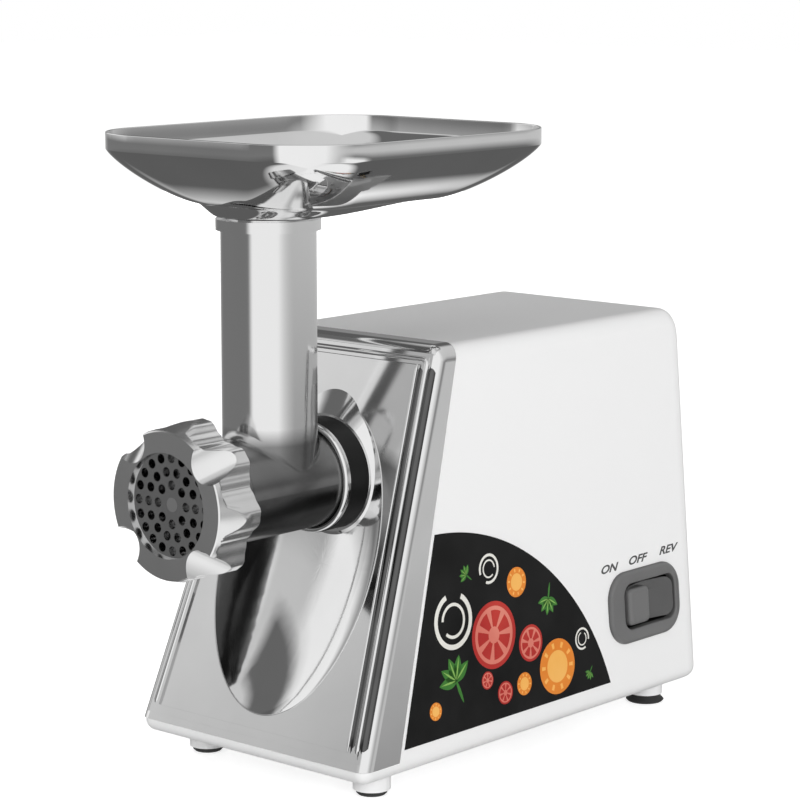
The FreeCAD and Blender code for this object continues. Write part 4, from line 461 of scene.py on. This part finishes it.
def build_nut():
    satin = metal("nut_cast_satin", grey(0.76), grey(0.84), (0.2, 0.27), grain=150.0)
    nut = new_object("nut_ring", nut_blank(), "nut", satin, ["ring_nut"])
    cutters = bpy.data.objects.new("flute_cutters", flute_cutters())
    scene.collection.objects.link(cutters)
    boolean = nut.modifiers.new("flutes", "BOOLEAN")
    boolean.object = cutters
    boolean.operation = "DIFFERENCE"
    boolean.solver = "MANIFOLD"
    graph = bpy.context.evaluated_depsgraph_get()
    fluted = bpy.data.meshes.new_from_object(nut.evaluated_get(graph))
    nut.modifiers.clear()
    nut.data = fluted
    fluted.shade_smooth()
    fluted.set_sharp_from_angle(angle=math.radians(32))
    bpy.data.objects.remove(cutters)


# Cover and barrel: beads along the border, the scoop's edge and the barrel's rim, and the border's lines

# The border's bead: its inset from the sides, its depth below the front and its radius
BORDER_INSET = 7.9 * MM
BORDER_SINK = 0.5 * MM
BORDER_RADIUS = 1.7 * MM
# Each line down the right of the border, by the same measures, and whether it is dark; the dark lines are a
# painted reflection of the dark that the border's right side mirrors
LINES = (
    ("outer_line", 4.4 * MM, 1.6 * MM, 2.9 * MM, True),
    ("inner_line", 11.3 * MM, 1.6 * MM, 2.9 * MM, True),
    ("panel_bead", 14.6 * MM, 0.2 * MM, 0.9 * MM, False),
)
LINE_FOOT = 8 * MM
LINE_TOP = 9 * MM
LINE_FADE = 5 * MM
LINE_END = 0.1
LINE_STEPS = 40
FOOT_SHARE = 0.82
BEAD_STEPS = 10
SCOOP_MIDDLE = 107 * MM
SCOOP_WIDE = 56.6 * MM
SCOOP_TALL = 89.8 * MM
SCOOP_DEEP = 1.6 * MM
SCOOP_EDGE = 0.4 * MM
SCOOP_POINTS = 120


def front_point(across, up, out):
    """A point on the slanted front: across, up its slope and out of it."""
    rise = (ROOF - SEAT) / FRONT_SLOPE
    back = (FOOT_REACH - BROW_REACH) / FRONT_SLOPE
    return Vector((across, up * back - out * rise - FOOT_REACH, SEAT + up * rise + out * back))


def front_half(up):
    return BASE_HALF - up * (BASE_HALF - ROOF_HALF) / FRONT_SLOPE


def border_corners(inset):
    foot = inset * FOOT_SHARE
    top = FRONT_SLOPE - inset
    low_half = front_half(foot) - inset
    top_half = front_half(top) - inset
    return [Vector(p) for p in ((-low_half, foot), (low_half, foot), (top_half, top), (-top_half, top))]


def rounded_path(corners, radius):
    """Points along straight runs whose corners are rounded."""
    points = []
    for number, corner in enumerate(corners):
        back = (corners[number - 1] - corner).normalized()
        ahead = (corners[(number + 1) % len(corners)] - corner).normalized()
        half = back.angle(ahead) / 2
        middle = corner + (back + ahead).normalized() * radius / math.sin(half)
        start = corner + back * radius / math.tan(half) - middle
        end = corner + ahead * radius / math.tan(half) - middle
        points += [middle + start.slerp(end, step / BEAD_STEPS) * radius for step in range(BEAD_STEPS + 1)]
    return points


def bead(name, points, radius, finish=finishes["plated_cover"], shares=None, body="housing"):
    """A round bead along a closed line of points, or along an open one with a share of the radius at each."""
    curve = bpy.data.curves.new(name, "CURVE")
    curve.dimensions = "3D"
    curve.bevel_depth = radius
    curve.bevel_resolution = 8
    spline = curve.splines.new("POLY")
    spline.points.add(len(points) - 1)
    for point, place in zip(spline.points, points):
        point.co = (*place, 1)
    for point, share in zip(spline.points, shares or ()):
        point.radius = share
    spline.use_cyclic_u = shares is None
    spline.use_smooth = True
    new_object(name, curve, body, finish)


def border_path():
    """Up the border's right side, over its top and down its left, with short runs where the ends fade."""
    corners = border_corners(BORDER_INSET)
    left, right = corners[:2]
    top = rounded_path(corners, 2 * BORDER_RADIUS)[2 * (BEAD_STEPS + 1):]
    rise = (top[0] - right).normalized() * LINE_FADE
    fall = (top[-1] - left).normalized() * LINE_FADE
    return [right, right + rise, *top, left + fall, left]


def build_beads():
    border = [front_point(p.x, p.y, -BORDER_SINK) for p in border_path()]
    bead("inner_bead", border, BORDER_RADIUS, shares=[LINE_END, *[1.0] * (len(border) - 2), LINE_END])
    edge = []
    for number in range(SCOOP_POINTS):
        angle = 2 * math.pi * number / SCOOP_POINTS
        up = SCOOP_MIDDLE + SCOOP_TALL * math.sin(angle)
        edge.append(front_point(SCOOP_WIDE * math.cos(angle), up, -SCOOP_DEEP))
    bead("scoop_edge", edge, SCOOP_EDGE)
    turns = [2 * math.pi * number / RIM_POINTS for number in range(RIM_POINTS)]
    rim = [Vector((RIM_RADIUS * math.cos(a), RIM_Y, AXIS_Z + RIM_RADIUS * math.sin(a))) for a in turns]
    bead("barrel_rim", rim, RIM_ROUND, finishes["stainless_mirror"], body="head")


def build_lines():
    """Lines that run out at the top and the foot of the border's right side, the dark ones a painted
    reflection.
    """
    # painted reflection: a dark metal for the lines that stand for the dark the border's right side mirrors
    shade = metal("border_line_painted_reflection", grey(0.1), grey(0.14), (0.12, 0.2))
    length = FRONT_SLOPE - LINE_TOP - LINE_FOOT
    steps = [length * step / LINE_STEPS for step in range(LINE_STEPS + 1)]
    for name, inset, sink, radius, dark in LINES:
        ups = [LINE_FOOT + step for step in steps]
        points = [front_point(front_half(up) - inset, up, -sink) for up in ups]
        shares = [max(eased(min(step, length - step) / LINE_FADE), LINE_END) for step in steps]
        bead(name, points, radius, shade if dark else finishes["plated_cover"], shares)


# Side: lettering over the switch

LETTER_SIZE = 6.6 * MM
LETTER_SLANT = 0.38
LETTER_STRETCH = 1.5
LETTER_BOLD = 0.18 * MM
LETTER_DEPTH = 0.03 * MM
LETTERS = (("ON", 88.5 * MM, 92.6 * MM), ("OFF", 115.5 * MM, 93.6 * MM), ("REV", 146.5 * MM, 94.6 * MM))


def side_point(y, z, out=0.0):
    """A point on the switch side, out of its surface."""
    length = math.hypot(1, SIDE_LEAN)
    return Vector((BASE_HALF - (z - SEAT) * SIDE_LEAN + out / length, y, z + out * SIDE_LEAN / length))


def side_matrix(y, z, out):
    """Axes on the switch side: X towards the rear, Y up the side, Z out of it."""
    along = Vector((0, 1, 0))
    up = Vector((-SIDE_LEAN, 0, 1)).normalized()
    turn = Matrix((along, up, along.cross(up))).transposed().to_4x4()
    return Matrix.Translation(side_point(y, z, out)) @ turn


def build_lettering():
    ink = moulded("lettering_ink", grey(0.05), grey(0.09), (0.4, 0.5))
    for word, y, z in LETTERS:
        text = bpy.data.curves.new(f"word_{word.lower()}", "FONT")
        text.body = word
        text.size = LETTER_SIZE
        text.shear = LETTER_SLANT
        text.extrude = LETTER_DEPTH
        text.offset = LETTER_BOLD
        thing = bpy.data.objects.new(f"word_{word.lower()}", text)
        scene.collection.objects.link(thing)
        thing.matrix_world = side_matrix(y, z, LETTER_DEPTH) @ Matrix.Diagonal((LETTER_STRETCH, 1, 1, 1))
        thing.data.materials.append(ink)
        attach(thing, "housing")


# Switch: a bevelled frame round an opening with round corners, and a hollowed rocker with a paddle

SWITCH_Y = 128.5 * MM
SWITCH_Z = 69.1 * MM
FRAME_HALF = (34.2 * MM, 21.5 * MM)
FRAME_ROUND = 16 * MM
FRAME_PROUD = 3 * MM
FRAME_EDGE = 2.4 * MM
FRAME_DIP = 0.9 * MM
OPENING_SHIFT = 5 * MM
OPENING_HALF = (25 * MM, 13.6 * MM)
OPENING_ROUND = 7 * MM
OPENING_LIP = 1.2 * MM
NECK_WALL = 1.6 * MM
NECK_DEPTH = -3.2 * MM
ROCKER_HALF = (23.1 * MM, 11.7 * MM)
ROCKER_ROUND = 6 * MM
ROCKER_FOOT = -7 * MM
ROCKER_END = 1.2 * MM
ROCKER_DIP = 5.4 * MM
ROCKER_RINGS = 12
PADDLE_SHIFT = -8.6 * MM
PADDLE_HALF = (9.8 * MM, 10.9 * MM)
PADDLE_ROUND = 3.4 * MM
PADDLE_FOOT = -3.4 * MM
PADDLE_PROUD = 4.6 * MM
PADDLE_EDGE = 2.6 * MM
EDGE_STEPS = 8


def switch_ring(half, radius, shift, inset, out):
    """A rectangle with round corners on the switch, drawn in by inset, so far out of the side."""
    ring = round_ring(half[1] - inset, shift - half[0] + inset, shift + half[0] - inset, radius - inset, out)
    turn = side_matrix(SWITCH_Y, SWITCH_Z, 0)
    return [turn @ Vector((point.y, point.x, point.z)) for point in ring]


def frame_rings():
    """Up the frame's outer edge, over its face, down into the opening and back under it."""
    rings = [switch_ring(FRAME_HALF, FRAME_ROUND, 0, 0, 0)]
    opening = (OPENING_HALF, OPENING_ROUND, OPENING_SHIFT)
    face = FRAME_PROUD - FRAME_DIP
    turns = [math.pi / 2 * step / EDGE_STEPS for step in range(EDGE_STEPS + 1)]
    for turn in turns:
        out = FRAME_PROUD - FRAME_EDGE * (1 - math.sin(turn))
        rings.append(switch_ring(FRAME_HALF, FRAME_ROUND, 0, FRAME_EDGE * (1 - math.cos(turn)), out))
    for turn in turns:
        out = face - OPENING_LIP * (1 - math.cos(turn))
        rings.append(switch_ring(*opening, OPENING_LIP * (math.sin(turn) - 1), out))
    rings.append(switch_ring(*opening, 0, NECK_DEPTH))
    rings.append(switch_ring(*opening, -NECK_WALL, NECK_DEPTH))
    rings.append(switch_ring(*opening, -NECK_WALL, 0))
    return rings


def rocker_rings():
    """Up the rocker's side and in over its hollowed face."""
    place = (ROCKER_HALF, ROCKER_ROUND, OPENING_SHIFT)
    rings = [switch_ring(*place, 0, ROCKER_FOOT)]
    inward = side_matrix(SWITCH_Y, SWITCH_Z, 0).to_3x3() @ Vector((0, 0, -1))
    middle = SWITCH_Y + OPENING_SHIFT
    for step in range(ROCKER_RINGS):
        level = switch_ring(*place, ROCKER_ROUND * step / ROCKER_RINGS, ROCKER_END)
        dips = [ROCKER_DIP * (1 - min(abs(point.y - middle) / ROCKER_HALF[0], 1) ** 1.4) for point in level]
        rings.append([point + inward * dip for point, dip in zip(level, dips)])
    return rings


def paddle_rings():
    place = (PADDLE_HALF, PADDLE_ROUND, PADDLE_SHIFT)
    rings = [switch_ring(*place, 0, PADDLE_FOOT)]
    for step in range(EDGE_STEPS + 1):
        turn = math.pi / 2 * step / EDGE_STEPS
        out = PADDLE_PROUD - PADDLE_EDGE * (1 - math.sin(turn))
        rings.append(switch_ring(*place, PADDLE_EDGE * (1 - math.cos(turn)), out))
    return rings


def build_switch():
    grey_finish = finishes["grey_plastic"]
    mesh = mesh_of("switch_frame", skin(frame_rings()), crease=35)
    new_object("switch_frame", mesh, "housing", grey_finish, ["switch_bezel"])
    mesh = mesh_of("rocker_face", skin(rocker_rings(), capped=True), crease=35)
    # painted shade: the rocker's hollowed face takes a darker copy of the paddle's grey plastic, standing for
    # the shade in the recess
    shade = moulded("rocker_plastic_painted_shade", grey(0.085), grey(0.1), (0.34, 0.46))
    new_object("rocker_face", mesh, "rocker", shade, ["switch_rocker"])
    mesh = mesh_of("rocker_paddle", skin(paddle_rings(), capped=True), crease=35)
    new_object("rocker_paddle", mesh, "rocker", grey_finish)


# The printed film's motifs

FILM = 0.3 * MM
INK = 0.03 * MM
PRINT_RADIUS = 160 * MM
PRINT_Y = -60 * MM
PRINT_Z = -20 * MM
PRINT_LOW = 28 * MM
PRINT_EDGE = 3 * MM
PRINT_SEED = 11
MOTIF_SIZES = (19 * MM, 16 * MM, 13 * MM, 10.5 * MM, 8.5 * MM, 6.5 * MM, 5 * MM)
MOTIF_TRIES = 60
MOTIF_GAP = 1.2 * MM
SEAM_FOOT = 96 * MM
SEAM_LEAN = 0.31651


class Ink:
    """Flat patches of one colour on the printed film."""

    def __init__(self, name, dark, light):
        self.name = f"ink_{name}"
        self.finish = moulded(self.name, dark, light, (0.3, 0.4), gloss=0.25)
        self.work = bmesh.new()

    def patch(self, outline, level):
        """A patch inside an outline of (y, z) points, so many layers above the film."""
        top = [self.work.verts.new(side_point(y, z, FILM + INK * level)) for y, z in outline]
        foot = [self.work.verts.new(side_point(y, z, FILM)) for y, z in outline]
        self.work.faces.new(top)
        self.work.faces.new(foot[::-1])
        for number, vertex in enumerate(top):
            before = number - 1
            self.work.faces.new((top[before], foot[before], foot[number], vertex))

    def lay(self):
        mesh = mesh_of(self.name, self.work, crease=30)
        new_object(self.name, mesh, "housing", self.finish)


def polar(centre, radius, angle):
    return centre[0] + radius * math.cos(angle), centre[1] + radius * math.sin(angle)


def disc(centre, radius, steps=48):
    return [polar(centre, radius, 2 * math.pi * step / steps) for step in range(steps)]


def wedge(centre, inner, outer, start, end, steps=8):
    """A piece of a ring between two angles."""
    angles = [start + (end - start) * step / steps for step in range(steps + 1)]
    return [polar(centre, outer, a) for a in angles] + [polar(centre, inner, a) for a in reversed(angles)]


def leaf(centre, length, width, turn, steps=14):
    """A pointed leaf along turn."""
    rows = []
    for step in range(steps + 1):
        share = step / steps
        half = width / 2 * math.sin(math.pi * share) ** 0.8 * (1.25 - 0.5 * share)
        rows.append((length * (share - 0.5), half))
    points = rows + [(along, -half) for along, half in rows[-2:0:-1]]
    across = (math.cos(turn), math.sin(turn))
    return [
        (centre[0] + a * across[0] - b * across[1], centre[1] + a * across[1] + b * across[0])
        for a, b in points
    ]


def draw_slice(inks, centre, radius, turn):
    """A round slice with seven chambers."""
    inks["red"].patch(disc(centre, radius), 1)
    inks["rose"].patch(disc(centre, radius * 0.86), 2)
    chambers = 7
    for number in range(chambers):
        start = turn + 2 * math.pi * number / chambers
        inks["red"].patch(wedge(centre, radius * 0.25, radius * 0.74, start, start + 0.62), 3)


def draw_coin(inks, centre, radius, turn):
    """A coin cut from a root, with a paler core."""
    inks["orange"].patch(disc(centre, radius), 1)
    inks["amber"].patch(disc(centre, radius * 0.58), 2)
    rays = 10
    for number in range(rays):
        start = turn + 2 * math.pi * number / rays
        inks["amber"].patch(wedge(centre, radius * 0.68, radius * 0.88, start, start + 0.16), 2)


def draw_sprig(inks, centre, radius, turn):
    """Five leaves on a stalk."""
    stalk = [polar(centre, radius * share, turn) for share in (-0.9, 0.2)]
    inks["leaf"].patch(leaf(((stalk[0][0] + stalk[1][0]) / 2, (stalk[0][1] + stalk[1][1]) / 2),
                            radius * 1.1, radius * 0.14, turn), 1)
    for number in range(-2, 3):
        lean = turn + number * 0.62
        inks["leaf"].patch(leaf(polar(centre, radius * 0.42, lean), radius * 0.95, radius * 0.42, lean), 2)
        inks["lime"].patch(leaf(polar(centre, radius * 0.42, lean), radius * 0.75, radius * 0.07, lean), 3)


def draw_hoop(inks, centre, radius, turn):
    """Two hoops of an onion, each open on one side."""
    for share, start in ((1.0, turn), (0.62, turn + 2.0)):
        outline = wedge(centre, radius * share * 0.82, radius * share, start, start + 5.4, 40)
        inks["cream"].patch(outline, 1)


MOTIFS = (draw_slice, draw_sprig, draw_coin, draw_hoop)


def on_film(centre, radius):
    """Whether a round motif stays inside the printed film."""
    reach = radius + PRINT_EDGE
    front = SEAM_LEAN * (centre[1] - SEAT) - SEAM_FOOT
    inside_arc = math.hypot(centre[0] - PRINT_Y, centre[1] - PRINT_Z) + reach < PRINT_RADIUS
    return inside_arc and centre[1] - reach > PRINT_LOW and centre[0] - reach > front + PRINT_EDGE


def build_print():
    inks = {
        "red": Ink("red", (0.38, 0.02, 0.018), (0.5, 0.04, 0.03)),
        "rose": Ink("rose", (0.62, 0.16, 0.12), (0.72, 0.24, 0.18)),
        "orange": Ink("orange", (0.7, 0.2, 0.02), (0.8, 0.27, 0.04)),
        "amber": Ink("amber", (0.85, 0.42, 0.09), (0.9, 0.5, 0.14)),
        "leaf": Ink("leaf", (0.03, 0.14, 0.02), (0.06, 0.22, 0.04)),
        "lime": Ink("lime", (0.2, 0.4, 0.08), (0.26, 0.48, 0.12)),
        "cream": Ink("cream", (0.7, 0.69, 0.64), (0.8, 0.79, 0.74)),
    }
    chance = random.Random(PRINT_SEED)
    placed = []
    for radius in MOTIF_SIZES:
        for _ in range(MOTIF_TRIES):
            span = PRINT_RADIUS * math.sqrt(chance.random())
            centre = polar((PRINT_Y, PRINT_Z), span, chance.uniform(0, math.pi / 1.6))
            clear = all(math.dist(centre, other) > radius + size + MOTIF_GAP for other, size in placed)
            if clear and on_film(centre, radius):
                placed.append((centre, radius))
    for number, (centre, radius) in enumerate(placed):
        MOTIFS[number % len(MOTIFS)](inks, centre, radius, chance.uniform(0, 2 * math.pi))
    for ink in inks.values():
        ink.lay()


# Camera, light and floor

CAMERA_PLACE = (1.04484, -1.18882, 0.4635)
CAMERA_TILT = 80.49
CAMERA_TURN = 41.26
CAMERA_LENS = 126.18


def build_camera():
    data = bpy.data.cameras.new("camera")
    data.lens = CAMERA_LENS
    data.sensor_width = 36
    data.clip_start = 0.01
    camera = bpy.data.objects.new("camera", data)
    scene.collection.objects.link(camera)
    camera.location = CAMERA_PLACE
    camera.rotation_euler = (math.radians(CAMERA_TILT), 0, math.radians(CAMERA_TURN))
    scene.camera = camera


def seen_directly(tree):
    """1 for camera, glossy and transmission rays, else 0."""
    path = tree.nodes.new("ShaderNodeLightPath")
    first = tree.nodes.new("ShaderNodeMath")
    first.operation = "MAXIMUM"
    tree.links.new(path.outputs["Is Camera Ray"], first.inputs[0])
    tree.links.new(path.outputs["Is Glossy Ray"], first.inputs[1])
    both = tree.nodes.new("ShaderNodeMath")
    both.operation = "MAXIMUM"
    tree.links.new(first.outputs[0], both.inputs[0])
    tree.links.new(path.outputs["Is Transmission Ray"], both.inputs[1])
    return both.outputs[0]


WORLD_LIGHT = 0.45
FLOOR_GLOW = 0.72
# What polished metal sees of the studio: tones by height in degrees, then panels of one tone.
# A panel begins, is full, stays full and ends at four directions, in degrees from the front over
# the right, and at four heights.
HEIGHT_TONES = (
    (-90, 0.9), (-66, 0.8), (-58, 0.12), (-20, 0.12), (-10, 0.2),
    (6, 0.18), (13, 0.42), (22, 0.62), (90, 0.7),
)
PANELS = (
    ((78, 108, 200, 210), (-90, -90, -62, -54), 1.0),
    ((196, 206, 227, 257), (-90, -90, -35, -28), 1.0),
    ((78, 108, 227, 257), (-14, -6, -1, 8), 0.6),
    ((-6, 4, 66, 108), (-90, -90, 90, 90), 1.0),
    ((85, 97, 124, 137), (-56, -48, -19, -13), 1.0),
    ((190, 205, 270, 270), (8, 16, 60, 70), 0.12),
    ((240, 250, 270, 270), (-4, 6, 26, 36), 0.97),
    ((-90, -90, -54, -40), (-4, 8, 26, 36), 0.97),
    ((-90, -90, -24, -12), (31, 38, 58, 68), 0.15),
)


def round_share(degrees):
    """Where a direction lies between the left, 0, and the left again, 1."""
    return (degrees + 90) / 360


def height_share(degrees):
    """Where a height lies between straight down, 0, and straight up, 1."""
    return (math.sin(math.radians(degrees)) + 1) / 2


def window(places, share):
    """Ramp steps that rise from 0 to 1 and fall again at four places."""
    begin, full, stay, end = (share(place) for place in places)
    steps = [(full, 1.0), (stay, 1.0)]
    if begin < full:
        steps.insert(0, (begin, 0.0))
    if end > stay:
        steps.append((end, 0.0))
    return steps


def ramp(tree, steps, factor):
    """A ramp of greys through (position, level) steps."""
    node = tree.nodes.new("ShaderNodeValToRGB")
    elements = node.color_ramp.elements
    elements.remove(elements[1])
    for number, (position, level) in enumerate(steps):
        element = elements[0] if number == 0 else elements.new(position)
        element.position = position
        element.color = (level, level, level, 1)
    tree.links.new(factor, node.inputs["Fac"])
    return node.outputs["Color"]


def studio_tone(tree):
    """The studio as polished metal sees it, by direction."""
    place = tree.nodes.new("ShaderNodeTexCoord")
    parts = tree.nodes.new("ShaderNodeSeparateXYZ")
    tree.links.new(place.outputs["Generated"], parts.inputs[0])
    height = tree.nodes.new("ShaderNodeMapRange")
    height.inputs["From Min"].default_value = -1
    tree.links.new(parts.outputs["Z"], height.inputs["Value"])
    around = tree.nodes.new("ShaderNodeTexGradient")
    around.gradient_type = "RADIAL"
    tree.links.new(place.outputs["Generated"], around.inputs["Vector"])
    tones = [(height_share(degrees), level) for degrees, level in HEIGHT_TONES]
    tone = ramp(tree, tones, height.outputs["Result"])
    for directions, heights, level in PANELS:
        share = tree.nodes.new("ShaderNodeMath")
        share.operation = "MULTIPLY"
        tree.links.new(ramp(tree, window(directions, round_share), around.outputs["Fac"]), share.inputs[0])
        tree.links.new(ramp(tree, window(heights, height_share), height.outputs["Result"]), share.inputs[1])
        mix = tree.nodes.new("ShaderNodeMix")
        tree.links.new(share.outputs[0], mix.inputs["Factor"])
        tree.links.new(tone, mix.inputs["A"])
        mix.inputs["B"].default_value = level
        tone = mix.outputs["Result"]
    return tone


def background(tree, strength):
    node = tree.nodes.new("ShaderNodeBackground")
    node.inputs["Color"].default_value = (1, 1, 1, 1)
    node.inputs["Strength"].default_value = strength
    return node


def build_world():
    world = bpy.data.worlds.new("studio")
    scene.world = world
    world.use_nodes = True
    tree = world.node_tree
    tree.nodes.remove(tree.nodes["Background"])
    soft = background(tree, WORLD_LIGHT)
    white = background(tree, 1.0)
    studio = background(tree, 1.0)
    tree.links.new(studio_tone(tree), studio.inputs["Color"])
    direct = tree.nodes.new("ShaderNodeMixShader")
    tree.links.new(seen_directly(tree), direct.inputs["Fac"])
    tree.links.new(soft.outputs[0], direct.inputs[1])
    tree.links.new(white.outputs[0], direct.inputs[2])
    polished = tree.nodes.new("ShaderNodeMixShader")
    path = tree.nodes.new("ShaderNodeLightPath")
    tree.links.new(path.outputs["Is Glossy Ray"], polished.inputs["Fac"])
    tree.links.new(direct.outputs[0], polished.inputs[1])
    tree.links.new(studio.outputs[0], polished.inputs[2])
    tree.links.new(polished.outputs[0], tree.nodes["World Output"].inputs["Surface"])


def area_light(name, place, target, size, power):
    data = bpy.data.lights.new(name, "AREA")
    data.size = size
    data.energy = power
    lamp = bpy.data.objects.new(name, data)
    scene.collection.objects.link(lamp)
    lamp.location = place
    lamp.visible_glossy = False
    lamp.rotation_euler = (Vector(target) - Vector(place)).to_track_quat("-Z", "Y").to_euler()


def flat_sheet(name, corners, material):
    """A four cornered sheet that belongs to the studio."""
    work = bmesh.new()
    work.faces.new([work.verts.new(corner) for corner in corners])
    mesh = bpy.data.meshes.new(name)
    work.to_mesh(mesh)
    work.free()
    mesh.materials.append(material)
    sheet = bpy.data.objects.new(name, mesh)
    scene.collection.objects.link(sheet)
    return sheet


def floor_material():
    """A pale floor that keeps shadows and looks white where nothing shades it."""
    material = bpy.data.materials.new("floor_white")
    material.use_nodes = True
    tree = material.node_tree
    shader = tree.nodes["Principled BSDF"]
    shader.inputs["Base Color"].default_value = (0.72, 0.72, 0.72, 1)
    shader.inputs["Roughness"].default_value = 0.25
    glow = tree.nodes.new("ShaderNodeEmission")
    level = tree.nodes.new("ShaderNodeMath")
    level.operation = "MULTIPLY"
    level.inputs[1].default_value = FLOOR_GLOW
    tree.links.new(seen_directly(tree), level.inputs[0])
    tree.links.new(level.outputs[0], glow.inputs["Strength"])
    both = tree.nodes.new("ShaderNodeAddShader")
    tree.links.new(shader.outputs[0], both.inputs[0])
    tree.links.new(glow.outputs[0], both.inputs[1])
    tree.links.new(both.outputs[0], tree.nodes["Material Output"].inputs["Surface"])
    return material


FLOOR_REACH = 8.0


def build_floor():
    reach = FLOOR_REACH
    corners = ((-reach, -reach, 0), (reach, -reach, 0), (reach, reach, 0), (-reach, reach, 0))
    floor = flat_sheet("floor", corners, floor_material())
    floor.visible_glossy = False


def build_studio():
    build_world()
    build_floor()
    area_light("right_softbox", (3.0, -0.8, 0.9), (0, 0, 0.15), 2.0, 64)
    area_light("front_softbox", (-0.6, -2.8, 0.9), (0, 0, 0.1), 1.6, 32)
    area_light("rear_softbox", (-2.2, 2.6, 0.5), (0, 0, 0.15), 2.0, 60)


# Pieces that polished metal doesn't mirror, so that it shows the plain studio
UNMIRRORED = ("casing_shell", "front_cover", "base_plate", "socket_collar")


def clear_reflections():
    unmirrored = [nodes[name] for name in UNMIRRORED]
    for thing in [*unmirrored, bpy.data.objects["nut_ring"]]:
        thing.visible_glossy = False


build_tray()
build_nut()
build_beads()
build_lines()
build_lettering()
build_switch()
build_print()
build_camera()
build_studio()
clear_reflections()
scene.view_settings.view_transform = "Standard"
